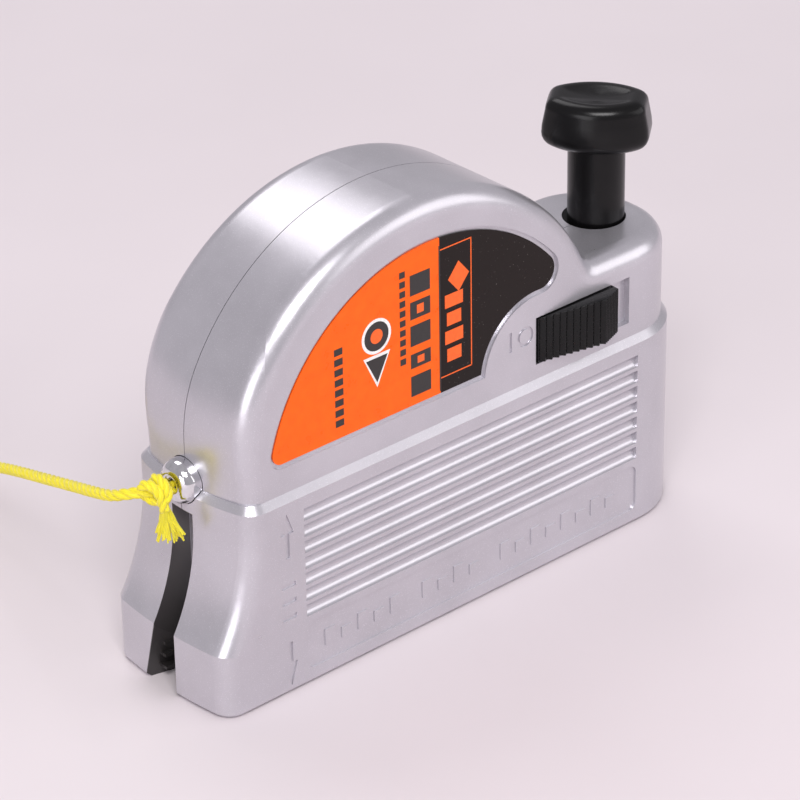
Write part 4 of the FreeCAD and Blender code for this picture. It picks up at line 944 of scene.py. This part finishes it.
def make_push_pin():
    """Stem and dished head, drawn up ring by ring from the head's rounded underside."""
    rings = [("circle", STEM_RADIUS, -38.0), ("circle", STEM_RADIUS, 0.0)]
    for k in range(7):
        turn = math.radians(15 * k)
        rings.append(("head", 3.0 * (1 - math.sin(turn)), 3.0 * (1 - math.cos(turn))))
    rings += [("head", 0.12, 4.4), ("head", 0.42, 6.0), ("head", 0.70, 7.5)]
    for k in range(1, 7):
        turn = math.radians(15 * k)
        rings.append(("head", 0.70 + 2.25 * (1 - math.cos(turn)), 7.5 + 2.25 * math.sin(turn)))
    rings += [("head", 3.4, 9.73), ("head", 3.9, 9.60), ("head", 4.6, 9.36), ("head", 6.0, 9.14),
              ("circle", 1.6, 8.96), ("circle", 0.3, 8.95)]

    def ring_points(kind, size, z):
        points = []
        if kind == "head":
            outline = head_outline(size)
        else:
            turns = [2 * math.pi * (k + 0.5) / HEAD_STEPS for k in range(HEAD_STEPS)]
            outline = [(size * math.cos(turn), size * math.sin(turn)) for turn in turns]
        for x, y in outline:
            saddle = 0.0
            if z > 7.5:
                saddle = -0.15 * (y / 8.1) ** 2
            points.append(Vector((x, y, z + saddle)) * MM)
        return points

    knob = face_of("dished_push_pin", ring_points(*rings[0]))
    edit_all(knob)
    for ring in rings[1:]:
        bpy.ops.mesh.extrude_region_move()
        mesh = bmesh.from_edit_mesh(knob.data)
        fresh = sorted((v for v in mesh.verts if v.select),
                       key=lambda v: math.atan2(v.co.y, v.co.x) % (2 * math.pi))
        for vertex, point in zip(fresh, ring_points(*ring)):
            vertex.co = point
        bmesh.update_edit_mesh(knob.data)
    bpy.ops.object.mode_set(mode="OBJECT")
    pin_x = (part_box("pin_needle")[0][0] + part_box("pin_needle")[1][0]) / 2
    head_z = KNOB_BOX[1][2] - HEAD_HEIGHT
    knob.data.transform(Matrix.Translation((pin_x, 0, head_z))
                        @ Matrix.Rotation(HEAD_TURN, 4, "Z"))
    outward(knob)
    soften(knob, 32)
    give(knob, "gloss_black")
    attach(knob, "pin")
    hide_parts("pin_knob")


def make_push_spring():
    """Coil under the stem, drawn as a wire."""
    low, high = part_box("pin_spring")
    wire = 0.00045
    radius = (high[0] - low[0]) / 2 - wire
    centre_x = (low[0] + high[0]) / 2
    turns, per_turn = 7, 20
    points = []
    for k in range(turns * per_turn + 1):
        turn = 2 * math.pi * k / per_turn
        rise = (high[2] - low[2] - 2 * wire) * k / (turns * per_turn)
        points.append((centre_x + radius * math.cos(turn), radius * math.sin(turn),
                       low[2] + wire + rise))
    coil = spline_curve("push_spring", points, radius=wire, resolution=2)
    only(coil)
    bpy.ops.object.convert(target="MESH")
    coil = bpy.context.object
    outward(coil)
    soften(coil, 60)
    give(coil, "steel")
    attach(coil, "pin")
    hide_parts("pin_spring")
    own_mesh(coil)


INNER_FINISHES = {
    "line_guide": "inner", "line_run": "yarn", "line_spool": "inner", "wound_line": "yarn",
    "spring_cover": "inner", "rewind_spring": "steel", "spring_arbor": "steel",
    "spool_axle": "steel", "brake_shoe": "rubber", "brake_carrier": "inner",
    "carrier_screw": "steel", "lock_detent_spring": "steel", "stop_ring": "steel",
    "pin_needle": "steel", "pin_sleeve": "inner", "pin_bush": "inner", "needle_bush": "brass",
    "front_magnet": "magnet", "rear_magnet": "magnet",
    "front_pole_plates": "steel", "rear_pole_plates": "steel", "front_keeper": "steel",
    "rear_keeper": "steel",
}


def make_inner_parts():
    """Parts inside the case and in its base keep the frame's shape."""
    for name, finish in INNER_FINISHES.items():
        give_node(name, finish)


# ---- the add-on ----------------------------------------------------------------------
class REEL_OT_stage(bpy.types.Operator):
    """Makes the floor, the soft lights and the camera"""
    bl_idname = "reel.stage"
    bl_label = "Stage"
    bl_options = {"REGISTER", "UNDO"}

    def execute(self, context):
        make_stage()
        return {"FINISHED"}


class REEL_OT_free_line(bpy.types.Operator):
    """Makes the twisted line with its knot and bob"""
    bl_idname = "reel.free_line"
    bl_label = "Line, knot and bob"
    bl_options = {"REGISTER", "UNDO"}

    def execute(self, context):
        make_free_line()
        return {"FINISHED"}


class REEL_OT_case(bpy.types.Operator):
    """Gives the shells their paint and the screws their steel"""
    bl_idname = "reel.case"
    bl_label = "Case"
    bl_options = {"REGISTER", "UNDO"}

    def execute(self, context):
        make_case()
        return {"FINISHED"}


class REEL_OT_label(bpy.types.Operator):
    """Makes the printed film on the side"""
    bl_idname = "reel.label"
    bl_label = "Label"
    bl_options = {"REGISTER", "UNDO"}

    def execute(self, context):
        make_label()
        return {"FINISHED"}


class REEL_OT_nose(bpy.types.Operator):
    """Makes the chrome ferrule"""
    bl_idname = "reel.nose"
    bl_label = "Nose"
    bl_options = {"REGISTER", "UNDO"}

    def execute(self, context):
        make_nose()
        return {"FINISHED"}


class REEL_OT_lock(bpy.types.Operator):
    """Makes the ribbed thumb slider"""
    bl_idname = "reel.lock"
    bl_label = "Line lock"
    bl_options = {"REGISTER", "UNDO"}

    def execute(self, context):
        make_lock()
        return {"FINISHED"}


class REEL_OT_push_pin(bpy.types.Operator):
    """Makes the stem, its dished head and the spring under it"""
    bl_idname = "reel.push_pin"
    bl_label = "Push pin"
    bl_options = {"REGISTER", "UNDO"}

    def execute(self, context):
        make_push_pin()
        make_push_spring()
        return {"FINISHED"}


class REEL_OT_inner_parts(bpy.types.Operator):
    """Gives the parts inside their finishes"""
    bl_idname = "reel.inner_parts"
    bl_label = "Inner parts"
    bl_options = {"REGISTER", "UNDO"}

    def execute(self, context):
        make_inner_parts()
        return {"FINISHED"}


OPERATORS = [
    REEL_OT_stage, REEL_OT_free_line,
    REEL_OT_case, REEL_OT_label,
    REEL_OT_nose, REEL_OT_lock,
    REEL_OT_push_pin, REEL_OT_inner_parts,
]


class REEL_PT_panel(bpy.types.Panel):
    """Lists the reel's pieces in the sidebar"""
    bl_idname = "REEL_PT_panel"
    bl_label = "Plumb line reel"
    bl_space_type = "VIEW_3D"
    bl_region_type = "UI"
    bl_category = "Line reel"

    def draw(self, context):
        for group in (context.scene.reel_sizes, context.scene.reel_colours):
            box = self.layout.box()
            for key in group.__annotations__:
                box.prop(group, key)
        for made in OPERATORS:
            self.layout.operator(made.bl_idname)


CLASSES = [ReelSizes, ReelColours] + OPERATORS + [REEL_PT_panel]


def register():
    for made in CLASSES:
        bpy.utils.register_class(made)
    bpy.types.Scene.reel_sizes = bpy.props.PointerProperty(type=ReelSizes)
    bpy.types.Scene.reel_colours = bpy.props.PointerProperty(type=ReelColours)


def unregister():
    del bpy.types.Scene.reel_colours
    del bpy.types.Scene.reel_sizes
    for made in reversed(CLASSES):
        bpy.utils.unregister_class(made)


def main():
    register()
    bpy.ops.reel.stage()
    bpy.ops.reel.free_line()
    bpy.ops.reel.case()
    bpy.ops.reel.label()
    bpy.ops.reel.nose()
    bpy.ops.reel.lock()
    bpy.ops.reel.push_pin()
    bpy.ops.reel.inner_parts()
    object_mode()


if __name__ == "__main__":
    main()
